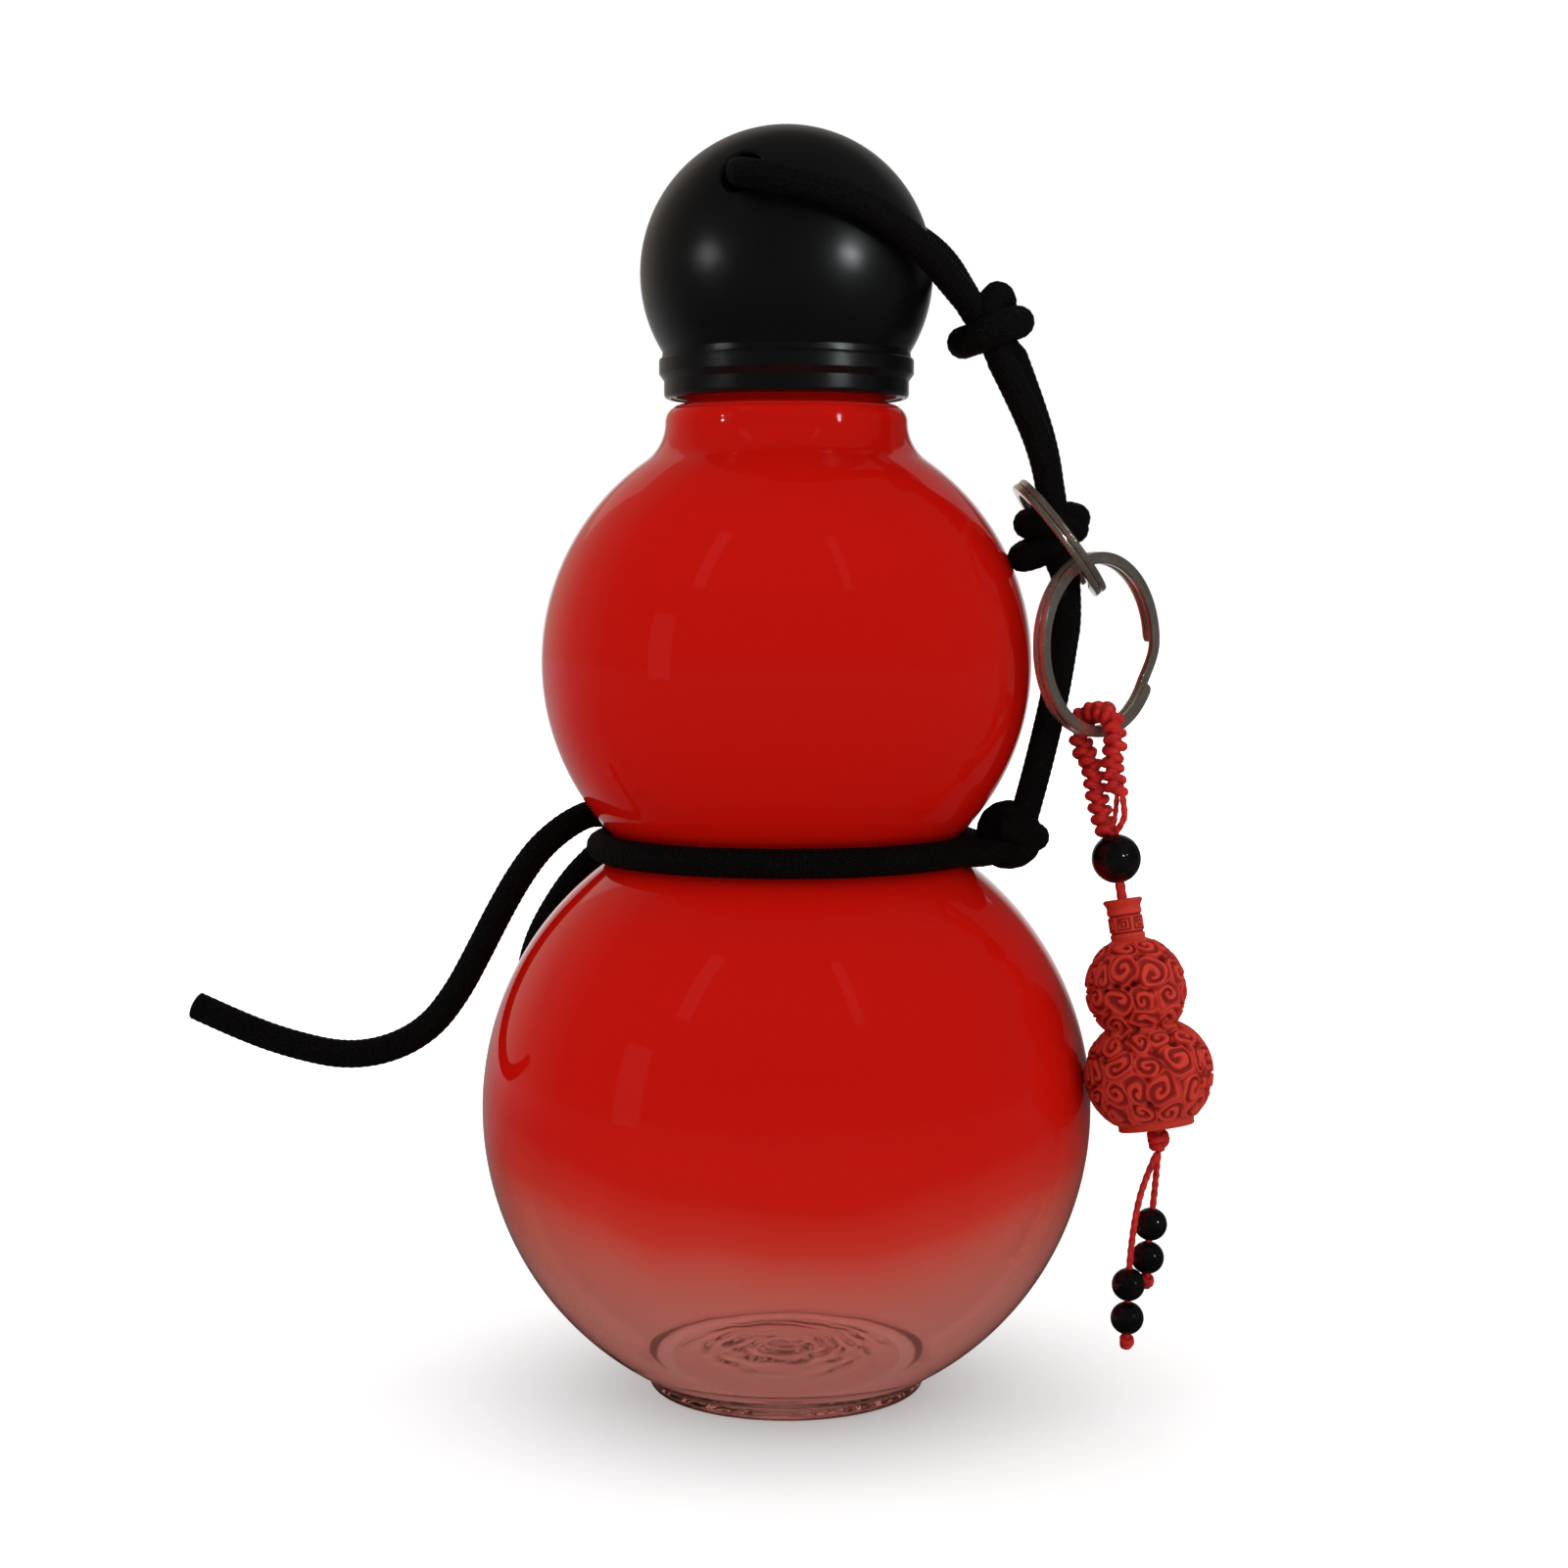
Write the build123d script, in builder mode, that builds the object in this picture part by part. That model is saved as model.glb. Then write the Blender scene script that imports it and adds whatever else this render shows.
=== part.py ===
from build123d import *

import os
from math import cos, hypot, inf, pi, radians, sin, sqrt, tan

# Gourd water bottle: a blown glass bottle in the shape of a double gourd, a ball-shaped screw
# cap with a cord through it, and a split-ring charm tied to the cord.
# Millimetres. The origin is the centre of the foot on the ground, +Z is up, and the charm
# hangs on the +X side.

os.makedirs("parts", exist_ok=True)

# Glass body
lower_bulb_radius = 53.1
upper_bulb_radius = 42.4
bulb_spacing = 77.3
waist_blend = 3.0
glass_wall = 2.6
foot_radius = 24.2
foot_height = 2.4
foot_round = 1.3
foot_ring_width = 2.4
punt_depth = 1.8
floor_height = 5.2
floor_rise = 1.0
ripple_radii_shares = (0.3, 0.52, 0.74)
ripple_radius = 0.4
neck_radius = 20.9
neck_blend = 8.0
shoulder_round = 3.0
neck_bore_radius = 15.0
neck_bore_blend = 8.0
finish_radius = 17.2
finish_height = 12.5
rim_round = 0.7

# Screw thread, two starts
thread_lead = 6.0
thread_starts = 2
thread_turns = 0.9
thread_depth = 1.4
thread_root_width = 1.9
thread_crest_width = 0.6
thread_offset = 3.0
thread_bite = 0.15
finish_clearance = 0.55

# Ball cap
ball_radius = 25.1
ball_wall = 2.4
cap_lift = 1.0
skirt_radius = 21.05
skirt_height = 3.0
skirt_step = 1.2
band_radius = 21.9
band_height = 2.7
band_round = 0.5
flare_height = 1.1
skirt_wall = 1.1
skirt_edge_round = 0.8
ball_rise = 21.25
shelf_thickness = 1.4
shelf_width = 3.2
cord_bore_radius = 3.4
cord_bore_rise = 14.4
cord_bore_wall = 1.7
cord_bore_turn = 68.0
mouths_per_cord_bore = 2
bore_edge_round = 0.6

# Threaded insert and gasket inside the cap
insert_fit = 0.05
insert_wall = 0.95
insert_lip = 0.3
insert_roof = 1.6
gasket_thickness = 1.5
gasket_margin = 0.6

# Braided cord
cord_diameter = 5.0
cord_gap = 0.35
cord_core_radius = 4.7

# Split rings
link_outer_diameter = 23.5
link_width = 1.9
link_turn_thickness = 1.15
key_outer_diameter = 31.5
key_width = 2.0
key_turn_thickness = 1.25
ring_groove = 0.25
ring_end_gap = 1.4

# Charm
charm_lean = 11.6
braid_diameter = 4.2
braid_ring_gap = 0.3
thread_diameter = 1.8
thread_clearance = 0.15
braid_drop = 17.0
braid_short_drop = 10.5
bead_diameter = 8.4
bead_drop = 21.9
pendant_drop = 28.8
pendant_lip_radius = 3.4
pendant_lip_height = 1.3
pendant_neck_radius = 2.9
pendant_upper_radius = 8.5
pendant_upper_drop = 14.9
pendant_waist_radius = 6.0
pendant_waist_drop = 21.7
pendant_lower_radius = 10.8
pendant_lower_drop = 29.6
pendant_foot_radius = 6.4
pendant_foot_height = 1.1
pendant_height = 39.0
stop_knot_radius = 1.9
string_diameter = 1.2
small_bead_diameter = 5.6
small_bead_pitch = 5.75
beads_per_string = 2
string_knot_radius = 1.25

# One overrun for every cut that has to pass a face
overrun = 1.0


def middle_on_arc(centre, start, end):
    """Middle of the shorter arc about a centre, from one point of it to another."""
    radius = hypot(start[0] - centre[0], start[1] - centre[1])
    way = ((start[0] + end[0]) / 2 - centre[0], (start[1] + end[1]) / 2 - centre[1])
    reach = radius / hypot(way[0], way[1])
    return (centre[0] + way[0] * reach, centre[1] + way[1] * reach)


def arc_about(centre, start, end):
    """The shorter arc about a centre."""
    return ThreePointArc(start, middle_on_arc(centre, start, end), end)


def point_between(centre, other, radius):
    """Point at a radius from one centre, on the way to another."""
    share = radius / hypot(other[0] - centre[0], other[1] - centre[1])
    return (centre[0] + (other[0] - centre[0]) * share, centre[1] + (other[1] - centre[1]) * share)


def height_on(centre_height, radius, across, way=1):
    """Height of a sphere's outline at a distance from its axis."""
    return centre_height + way * sqrt(radius**2 - across**2)


# Heights that follow from the sizes above
lower_bulb_height = foot_height + sqrt(lower_bulb_radius**2 - foot_radius**2)
upper_bulb_height = lower_bulb_height + bulb_spacing
lower_centre = (0, lower_bulb_height)
upper_centre = (0, upper_bulb_height)

waist_rise = (
    (lower_bulb_radius + waist_blend) ** 2 - (upper_bulb_radius + waist_blend) ** 2 + bulb_spacing**2
) / (2 * bulb_spacing)
waist_height = lower_bulb_height + waist_rise
waist_centre_radius = sqrt((lower_bulb_radius + waist_blend) ** 2 - waist_rise**2)
waist_centre = (waist_centre_radius, waist_height)
waist_radius = waist_centre_radius - waist_blend

neck_centre = (
    neck_radius + neck_blend,
    height_on(upper_bulb_height, upper_bulb_radius + neck_blend, neck_radius + neck_blend),
)
collar_top = neck_centre[1] + shoulder_round
mouth_height = collar_top + finish_height
thread_start = collar_top + thread_offset

skirt_bottom = collar_top + cap_lift
ball_height = skirt_bottom + ball_rise
cord_bore_height = ball_height + cord_bore_rise
gasket_top = mouth_height + gasket_thickness
insert_top = gasket_top + insert_roof
insert_radius = skirt_radius - skirt_wall - insert_fit
insert_root_radius = insert_radius - insert_wall
insert_crest_radius = finish_radius + finish_clearance

cord_radius = cord_diameter / 2
loop_radius = waist_radius + cord_gap + cord_radius


# Share of a turn's thickness that rounds its corners, and of the ring's radius where its end lies
ring_corner_share = 0.3
ring_end_share = 0.95

# Shares of the braid's fold and of its drop, where its two legs bulge and end
braid_foot_share = 0.3
braid_bulge_share = 0.85
braid_bulge_drop_share = 0.55

# Share of the shorter of two runs of a cord that the arc between them takes from each
arc_share = 0.45

# Half the width of the braid's fold over the key ring's wire
braid_fold = hypot(key_width, key_turn_thickness * 2) / 2 + braid_ring_gap + braid_diameter / 2

# The way that the cap's cord bore runs, towards its front mouth
cord_bore_way = (-cos(radians(cord_bore_turn)), -sin(radians(cord_bore_turn)), 0)

# Routes of the cord, point by point
front_strand_route = [
    (-6.55, -16.2, 207.9),
    (-7.75, -19.2, 207.9),
    (-7.1, -22.2, 207.5),
    (-4.8, -24.4, 206.8),
    (2.0, -25.4, 205.6),
    (9.0, -24.9, 203.6),
    (16.0, -22.1, 200.6),
    (22.3, -17.4, 196.2),
    (26.8, -12.3, 191.9),
    (31.0, -7.8, 187.7),
]
back_strand_route = [
    (6.55, 16.2, 207.9),
    (7.7, 19.1, 207.9),
    (10.3, 21.1, 207.4),
    (13.4, 21.3, 206.4),
    (19.2, 18.1, 204.3),
    (24.4, 13.0, 200.6),
    (27.8, 7.3, 196.4),
    (30.2, 2.4, 191.3),
    (32.3, -1.8, 186.8),
]
upper_front_route = [
    (36.2, -7.2, 178.6),
    (40.4, -7.4, 170.4),
    (43.5, -8.1, 162.6),
    (45.0, -8.9, 154.9),
    (45.6, -8.8, 150.0),
]
upper_back_route = [
    (38.7, -1.8, 179.7),
    (42.0, -2.2, 171.0),
    (44.4, -2.9, 162.8),
    (45.4, -3.6, 154.9),
    (45.9, -3.5, 150.0),
]
lower_front_route = [
    (47.2, -8.8, 142.9),
    (47.9, -8.7, 136.0),
    (46.9, -8.3, 128.5),
    (45.6, -7.9, 120.6),
    (43.8, -7.5, 112.6),
    (41.9, -7.1, 104.8),
    (40.2, -6.7, 98.6),
]
lower_back_route = [
    (47.7, -3.5, 142.9),
    (48.4, -3.3, 136.0),
    (47.5, -2.9, 128.5),
    (46.2, -2.5, 120.6),
    (44.4, -2.1, 112.6),
    (42.5, -1.7, 104.8),
    (40.8, -1.4, 98.6),
]
long_tail_route = [
    (-30.0, 21.3, 98.0),
    (-33.9, 15.6, 99.9),
    (-38.3, 10.8, 98.4),
    (-43.4, 8.0, 94.4),
    (-47.2, 6.2, 89.2),
    (-50.7, 4.8, 83.0),
    (-54.2, 3.4, 76.0),
    (-57.9, 2.0, 69.0),
    (-62.6, 0.9, 62.9),
    (-69.3, 0.2, 59.2),
    (-77.2, 0.0, 58.0),
    (-85.8, 0.0, 59.8),
    (-94.6, 0.0, 62.8),
    (-103.3, 0.0, 66.9),
]
short_tail_route = [
    (-30.2, 24.2, 95.6),
    (-34.2, 22.0, 91.6),
    (-38.3, 19.6, 87.6),
    (-41.9, 18.9, 82.4),
    (-45.1, 20.6, 76.6),
    (-47.2, 23.6, 70.4),
    (-48.0, 26.6, 64.2),
]

# Routes of the two bead strings, from the stop knot to the end knot
long_string_route = [
    (62.3, -19.7, 44.9),
    (60.1, -19.9, 39.9),
    (58.9, -20.0, 34.7),
    (58.3, -20.0, 30.2),
    (57.9, -20.0, 25.8),
    (57.6, -20.0, 19.5),
    (57.6, -20.0, 12.8),
]
short_string_route = [
    (62.9, -17.7, 44.9),
    (62.7, -17.0, 41.0),
    (62.2, -16.9, 35.0),
    (61.4, -16.9, 28.9),
    (61.3, -16.9, 22.4),
]

# Knots on the cord: centre, way out, half length, and each turn's centre, way and radius
cap_knot = (
    (34.5, -4.5, 184.6),
    (0.5, 0, -0.866),
    5.4,
    [((34.8, -4.5, 183.4), (-0.31, 0, 0.95), 5.2), ((35.9, -4.5, 185.6), (0.92, 0, 0.38), 3.6)],
)
ring_knot = (
    (45.2, -6.1, 149.1),
    (0.15, 0, -0.989),
    5.6,
    [((45.1, -6.1, 150.4), (0.31, 0, 0.95), 4.0), ((45.0, -6.1, 146.4), (-0.15, 0, 0.99), 3.9)],
)
waist_knot = (
    (39.4, -4.6, 97.6),
    (0.1, 0, -0.995),
    4.4,
    [((39.6, -4.5, 97.5), (0.1, 0, 1), 3.7), ((38.6, -6.2, 97.6), (0.3, 0.95, 0.1), 3.2)],
)
tie_knot = (
    (-28.9, 23.9, 96.6),
    (-0.64, -0.77, 0),
    4.4,
    [((-28.9, 23.9, 96.6), (0, 0, 1), 3.0), ((-28.9, 23.9, 96.6), (0.64, 0.77, 0), 2.6)],
)

# The loop round the waist in two halves: where each starts about the axis, and how far it turns
waist_knot_turn = -9.0
tie_knot_turn = 140.5
back_loop = (waist_knot_turn, tie_knot_turn - waist_knot_turn)
front_loop = (waist_knot_turn, tie_knot_turn - 360 - waist_knot_turn)

# Split rings: the link ring hangs on the cord, the key ring on the link ring
link_centre = (46.4, -7.2, 148.4)
link_tilt = 37.4
link_way = (cos(radians(link_tilt)), 0, sin(radians(link_tilt)))
link_down = (sin(radians(link_tilt)), 0, -cos(radians(link_tilt)))
link_place = Plane(origin=link_centre, x_dir=link_down, z_dir=link_way)
key_centre = (52.9, -9.0, 130.3)
key_turn = 44.5
key_across = Vector(cos(radians(key_turn)), sin(radians(key_turn)), 0)
key_out = Vector(sin(radians(key_turn)), -cos(radians(key_turn)), 0)
key_place = Plane(origin=key_centre, x_dir=key_across, z_dir=key_out)

# The charm's axis hangs from the lowest point of the key ring and leans away from the bulb
hook = Vector(*key_centre) - Vector(0, 0, key_outer_diameter / 2 - key_width / 2)
charm_down = key_out * sin(radians(charm_lean)) - Vector(0, 0, cos(radians(charm_lean)))
charm_up = charm_down * -1

# Plane that holds the charm's axis and lies across the key ring, its X away from the bottle
charm_side = Plane(origin=hook, x_dir=charm_up.cross(key_across * -1), z_dir=key_across * -1)


def on_charm(drop):
    """Plane across the charm's axis, at a distance below the key ring's wire."""
    return Plane(origin=hook + charm_down * drop, x_dir=key_across, z_dir=charm_up)


def ridge_profile(root, crest):
    """Trapezium of a thread's ridge, across the axis and along it, from its root to its crest."""
    sunk = root - thread_bite if crest > root else root + thread_bite
    Polyline(
        (sunk, -thread_root_width / 2),
        (root, -thread_root_width / 2),
        (crest, -thread_crest_width / 2),
        (crest, thread_crest_width / 2),
        (root, thread_root_width / 2),
        (sunk, thread_root_width / 2),
        close=True,
    )


def thread_ridge(root, crest):
    """One start of the right-hand thread, from the +X side up."""
    with BuildPart() as ridge:
        with BuildLine() as path:
            Helix(thread_lead, thread_lead * thread_turns, root, center=(0, 0, thread_start))
        with BuildSketch(Plane(origin=(0, 0, thread_start), x_dir=(1, 0, 0), z_dir=(0, -1, 0))):
            with BuildLine():
                ridge_profile(root, crest)
            make_face()
        sweep(path=path.line, is_frenet=True)
    return ridge.part


def outer_outline():
    """Outside of the glass, from the foot up to the mouth."""
    foot_edge = (foot_radius, foot_height)
    waist_low = point_between(lower_centre, waist_centre, lower_bulb_radius)
    waist_high = point_between(upper_centre, waist_centre, upper_bulb_radius)
    neck_low = point_between(upper_centre, neck_centre, upper_bulb_radius)
    neck_high = (neck_radius, neck_centre[1])
    shoulder_centre = (neck_radius - shoulder_round, neck_centre[1])
    shoulder_end = (shoulder_centre[0], collar_top)
    rim_outer = (finish_radius, mouth_height - rim_round)
    Line((foot_radius - foot_round, 0), (foot_radius - foot_round - foot_ring_width, 0))
    ThreePointArc(
        (foot_radius - foot_round, 0),
        (foot_radius - foot_round * (1 - sin(pi / 4)), foot_round * (1 - cos(pi / 4))),
        (foot_radius, foot_round),
    )
    Line((foot_radius, foot_round), foot_edge)
    arc_about(lower_centre, foot_edge, waist_low)
    arc_about(waist_centre, waist_low, waist_high)
    arc_about(upper_centre, waist_high, neck_low)
    arc_about(neck_centre, neck_low, neck_high)
    arc_about(shoulder_centre, neck_high, shoulder_end)
    Line(shoulder_end, (finish_radius, collar_top))
    Line((finish_radius, collar_top), rim_outer)
    arc_about((finish_radius - rim_round, rim_outer[1]), rim_outer, (finish_radius - rim_round, mouth_height))


def inner_outline():
    """Inside of the glass, from the mouth down to the floor."""
    inner_lower = lower_bulb_radius - glass_wall
    inner_upper = upper_bulb_radius - glass_wall
    bore_centre_radius = neck_bore_radius + neck_bore_blend
    bore_centre = (
        bore_centre_radius,
        height_on(upper_bulb_height, inner_upper + neck_bore_blend, bore_centre_radius),
    )
    bore_low = (neck_bore_radius, bore_centre[1])
    neck_low = point_between(upper_centre, bore_centre, inner_upper)
    waist_high = point_between(upper_centre, waist_centre, inner_upper)
    waist_low = point_between(lower_centre, waist_centre, inner_lower)
    floor_edge = (sqrt(inner_lower**2 - (lower_bulb_height - floor_height) ** 2), floor_height)
    Line((finish_radius - rim_round, mouth_height), (neck_bore_radius, mouth_height))
    Line((neck_bore_radius, mouth_height), bore_low)
    arc_about(bore_centre, bore_low, neck_low)
    arc_about(upper_centre, neck_low, waist_high)
    arc_about(waist_centre, waist_high, waist_low)
    arc_about(lower_centre, waist_low, floor_edge)
    Line(floor_edge, (0, floor_height + floor_rise))


def make_glass(ridge):
    """The hollow bottle with its foot, punt, neck and the two outside threads."""
    with BuildPart() as glass:
        with BuildSketch(Plane.XZ):
            with BuildLine():
                outer_outline()
                inner_outline()
                Line((0, floor_height + floor_rise), (0, punt_depth))
                Line((0, punt_depth), (foot_radius - foot_round - foot_ring_width, 0))
            make_face()
        revolve(axis=Axis.Z)
        for share in ripple_radii_shares:
            with Locations((0, 0, punt_depth * (1 - share))):
                Torus(foot_radius * share, ripple_radius, mode=Mode.SUBTRACT)
        with PolarLocations(0, thread_starts):
            add(ridge)
    return glass.part


def ball_outline():
    """Outside of the cap, from the skirt's lower edge up to the ball's top."""
    step_low = (skirt_radius, skirt_bottom + skirt_height)
    step_high = (band_radius, step_low[1] + skirt_step)
    band_top = (band_radius, step_high[1] + band_height - band_round)
    band_in = (band_radius - band_round, band_top[1] + band_round)
    ball_foot_height = band_in[1] + flare_height
    ball_foot = (sqrt(ball_radius**2 - (ball_height - ball_foot_height) ** 2), ball_foot_height)
    edge_centre = (skirt_radius - skirt_edge_round, skirt_bottom + skirt_edge_round)
    Line((skirt_radius - skirt_wall, skirt_bottom), (edge_centre[0], skirt_bottom))
    arc_about(edge_centre, (edge_centre[0], skirt_bottom), (skirt_radius, edge_centre[1]))
    Line((skirt_radius, edge_centre[1]), step_low)
    Line(step_low, step_high)
    Line(step_high, band_top)
    arc_about((band_in[0], band_top[1]), band_top, band_in)
    Line(band_in, ball_foot)
    arc_about((0, ball_height), ball_foot, (0, ball_height + ball_radius))


def make_cap_cavity():
    """The space inside the ball, round the tube that the cord runs through."""
    inner_radius = ball_radius - ball_wall
    shelf_top = insert_top + shelf_thickness
    cavity_foot = (sqrt(inner_radius**2 - (ball_height - shelf_top) ** 2), shelf_top)
    with BuildPart() as cavity:
        with BuildSketch(Plane.XZ):
            with BuildLine():
                Line((0, shelf_top), cavity_foot)
                arc_about((0, ball_height), cavity_foot, (0, ball_height + inner_radius))
                Line((0, ball_height + inner_radius), (0, shelf_top))
            make_face()
        revolve(axis=Axis.Z)
        with Locations(Plane(origin=(0, 0, cord_bore_height), z_dir=cord_bore_way)):
            Cylinder(cord_bore_radius + cord_bore_wall, ball_radius * 2, mode=Mode.SUBTRACT)
    return cavity.part


def make_cap_shell(cavity):
    """The moulded ball and skirt, with its cross bore for the cord."""
    bore_radius = skirt_radius - skirt_wall
    with BuildPart() as shell:
        with BuildSketch(Plane.XZ):
            with BuildLine():
                ball_outline()
                Line((0, ball_height + ball_radius), (0, insert_top))
                Line((0, insert_top), (bore_radius, insert_top))
                Line((bore_radius, insert_top), (bore_radius, skirt_bottom))
            make_face()
        revolve(axis=Axis.Z)
        add(cavity, mode=Mode.SUBTRACT)
        with Locations((0, 0, insert_top + shelf_thickness / 2)):
            Cylinder(bore_radius - shelf_width, shelf_thickness + overrun, mode=Mode.SUBTRACT)
        with Locations(Plane(origin=(0, 0, cord_bore_height), z_dir=cord_bore_way)):
            Cylinder(cord_bore_radius, ball_radius * 2, mode=Mode.SUBTRACT)
        mouth_edges = shell.edges().filter_by(GeomType.BSPLINE).sort_by_distance((0, 0, cord_bore_height))
        fillet(mouth_edges[-mouths_per_cord_bore:], bore_edge_round)
    return shell.part


def make_insert(ridge):
    """The cup inside the skirt, with the two inside threads and the roof over the gasket."""
    with BuildPart() as insert:
        with BuildSketch(Plane.XZ):
            with BuildLine():
                Polyline(
                    (insert_radius, skirt_bottom + insert_lip),
                    (insert_radius, insert_top),
                    (0, insert_top),
                    (0, gasket_top),
                    (insert_root_radius, gasket_top),
                    (insert_root_radius, skirt_bottom + insert_lip),
                    close=True,
                )
            make_face()
        revolve(axis=Axis.Z)
        with PolarLocations(0, thread_starts, start_angle=180 / thread_starts):
            add(ridge)
    return insert.part


def make_gasket():
    """The soft disc that the roof of the insert presses on the mouth."""
    with BuildPart() as gasket:
        with BuildSketch(Plane.XY.offset(mouth_height)):
            Circle(insert_root_radius - gasket_margin)
        extrude(amount=gasket_thickness)
    return gasket.part


def tube_along(points, diameter, largest_radius=inf):
    """Cord along straight runs that tangent arcs join. Prints the arcs' radii."""
    route = [Vector(*point) for point in points]
    arcs = []
    for before, here, after in zip(route, route[1:], route[2:]):
        run_in, run_out = here - before, after - here
        half_turn = radians(run_in.get_angle(run_out)) / 2
        arc = arc_share * min(run_in.length, run_out.length) / tan(half_turn)
        arcs.append(min(arc, largest_radius))
    with BuildPart() as tube:
        with BuildLine() as path:
            FilletPolyline(*route, radius=arcs)
        route_wire = path.wire()
        with BuildSketch(Plane(origin=route_wire @ 0, z_dir=route_wire % 0)):
            Circle(diameter / 2)
        sweep(path=route_wire)
    wanted = pi * diameter**2 / 4 * route_wire.length
    print("tube", round(route_wire.length, 1), "long, radii", [round(arc, 1) for arc in arcs])
    print("volume over section times length", round(tube.part.volume / wanted, 4))
    return tube.part


def on_side(across, up):
    """Point of the plane that holds the charm's axis and lies across the key ring."""
    return charm_side.from_local_coords(Vector(across, up, 0))


def tube_round(height, radius, start_turn, turn, diameter):
    """Cord round the bottle's axis, over a part of a circle."""
    with BuildPart() as tube:
        with BuildLine() as path:
            CenterArc((0, 0, height), radius, start_turn, turn)
        with BuildSketch(Plane(origin=path.line @ 0, z_dir=path.line % 0)):
            Circle(diameter / 2)
        sweep(path=path.line)
    print("loop", round(path.wire().length, 1), "long, radius", round(radius, 1))
    return tube.part


def make_knot(centre, way, half_length, turns):
    """A tied knot: the strands' core, cut flat where they leave it, and the turns round it."""
    core_plane = Plane(origin=centre, z_dir=way)
    with BuildPart() as knot:
        with BuildSketch(core_plane):
            Circle(cord_core_radius)
        extrude(amount=half_length, both=True)
        for turn_centre, turn_way, turn_radius in turns:
            with Locations(Plane(origin=turn_centre, z_dir=turn_way)):
                Torus(turn_radius, cord_radius)
        split(bisect_by=core_plane.offset(half_length), keep=Keep.BOTTOM)
    return knot.part


def make_split_ring(place, outer_diameter, width, turn_thickness):
    """Two flat turns side by side, with the groove between them and the gap at their ends."""
    outer = outer_diameter / 2
    inner = outer - width
    with BuildPart() as ring:
        with BuildSketch(Plane(origin=place.origin, x_dir=place.x_dir, z_dir=place.y_dir)):
            for side in (-1, 1):
                with Locations((inner + width / 2, side * turn_thickness / 2)):
                    RectangleRounded(width, turn_thickness, turn_thickness * ring_corner_share)
            with Locations((inner + width / 2, 0)):
                Rectangle(width - ring_groove * 2, turn_thickness)
        revolve(axis=Axis(place.origin, place.z_dir))
        end_plane = place.offset(turn_thickness / 2 + ring_groove / 2)
        with Locations(Location(end_plane) * Location((outer * ring_end_share, 0, 0))):
            Box(width * 2, ring_end_gap, turn_thickness, mode=Mode.SUBTRACT)
    return ring.part


def make_braid():
    """The knotted band that folds over the key ring's wire."""
    points = [
        on_side(-braid_fold * braid_foot_share, -braid_drop),
        on_side(-braid_fold * braid_bulge_share, -braid_drop * braid_bulge_drop_share),
        on_side(-braid_fold, -braid_fold / 2),
        on_side(-braid_fold, braid_fold),
        on_side(braid_fold, braid_fold),
        on_side(braid_fold, -braid_fold / 2),
        on_side(braid_fold * braid_bulge_share, -braid_short_drop),
    ]
    return tube_along(points, braid_diameter, braid_fold)


def make_side_thread():
    """The thin thread from the short end of the braid down to the bead."""
    points = [
        on_side(braid_fold * braid_bulge_share, -braid_short_drop),
        on_side(braid_fold * braid_bulge_share, -(braid_short_drop + braid_drop) / 2),
        on_side(thread_diameter / 2, -braid_drop),
    ]
    return tube_along(points, string_diameter)


def make_charm_thread():
    """The thread from the braid, through the bead and the pendant, to the stop knot."""
    with BuildPart() as thread:
        with BuildSketch(on_charm(braid_drop)):
            Circle(thread_diameter / 2)
        extrude(amount=-(pendant_drop + pendant_height + stop_knot_radius / 2 - braid_drop))
    return thread.part


def bored_ball(place, diameter, bore_radius):
    """A round bead with its bore."""
    with BuildPart() as bead:
        with Locations(place):
            Sphere(diameter / 2)
            Cylinder(bore_radius, diameter + overrun, mode=Mode.SUBTRACT)
    return bead.part


def make_pendant():
    """The small carved double gourd, with its lip, neck, two bulbs and foot."""
    bore = thread_diameter / 2 + thread_clearance
    neck_foot = sqrt(pendant_upper_radius**2 - pendant_neck_radius**2) - pendant_upper_drop
    waist = (pendant_waist_radius, -pendant_waist_drop)
    belly = (pendant_lower_radius, -pendant_lower_drop)
    foot_top = (pendant_foot_radius, pendant_foot_height - pendant_height)
    with BuildPart() as pendant:
        with BuildSketch(Plane(on_charm(pendant_drop).origin, x_dir=key_across, z_dir=charm_side.x_dir)):
            with BuildLine():
                Line((bore, 0), (pendant_lip_radius, 0))
                Line((pendant_lip_radius, 0), (pendant_neck_radius, -pendant_lip_height))
                Line((pendant_neck_radius, -pendant_lip_height), (pendant_neck_radius, neck_foot))
                ThreePointArc(
                    (pendant_neck_radius, neck_foot),
                    (pendant_upper_radius, -pendant_upper_drop),
                    waist,
                )
                TangentArc(belly, waist, tangent=(0, 1))
                TangentArc(belly, foot_top, tangent=(0, -1))
                Line(foot_top, (pendant_foot_radius, -pendant_height))
                Line((pendant_foot_radius, -pendant_height), (bore, -pendant_height))
                Line((bore, -pendant_height), (bore, 0))
            make_face()
        revolve(axis=Axis(hook, charm_up))
    return pendant.part


def make_stop_knot():
    """The knot under the pendant, where the thread ends and the two strings start."""
    with BuildPart() as knot:
        with Locations(on_charm(pendant_drop + pendant_height + stop_knot_radius)):
            Sphere(stop_knot_radius)
    return knot.part


def make_bore_cord():
    """The stretch of cord inside the cap, from one strand's end to the other's."""
    half = hypot(front_strand_route[0][0], front_strand_route[0][1])
    with BuildPart() as cord:
        with BuildSketch(Plane(origin=(0, 0, front_strand_route[0][2]), z_dir=cord_bore_way)):
            Circle(cord_radius)
        extrude(amount=half, both=True)
    return cord.part


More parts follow.
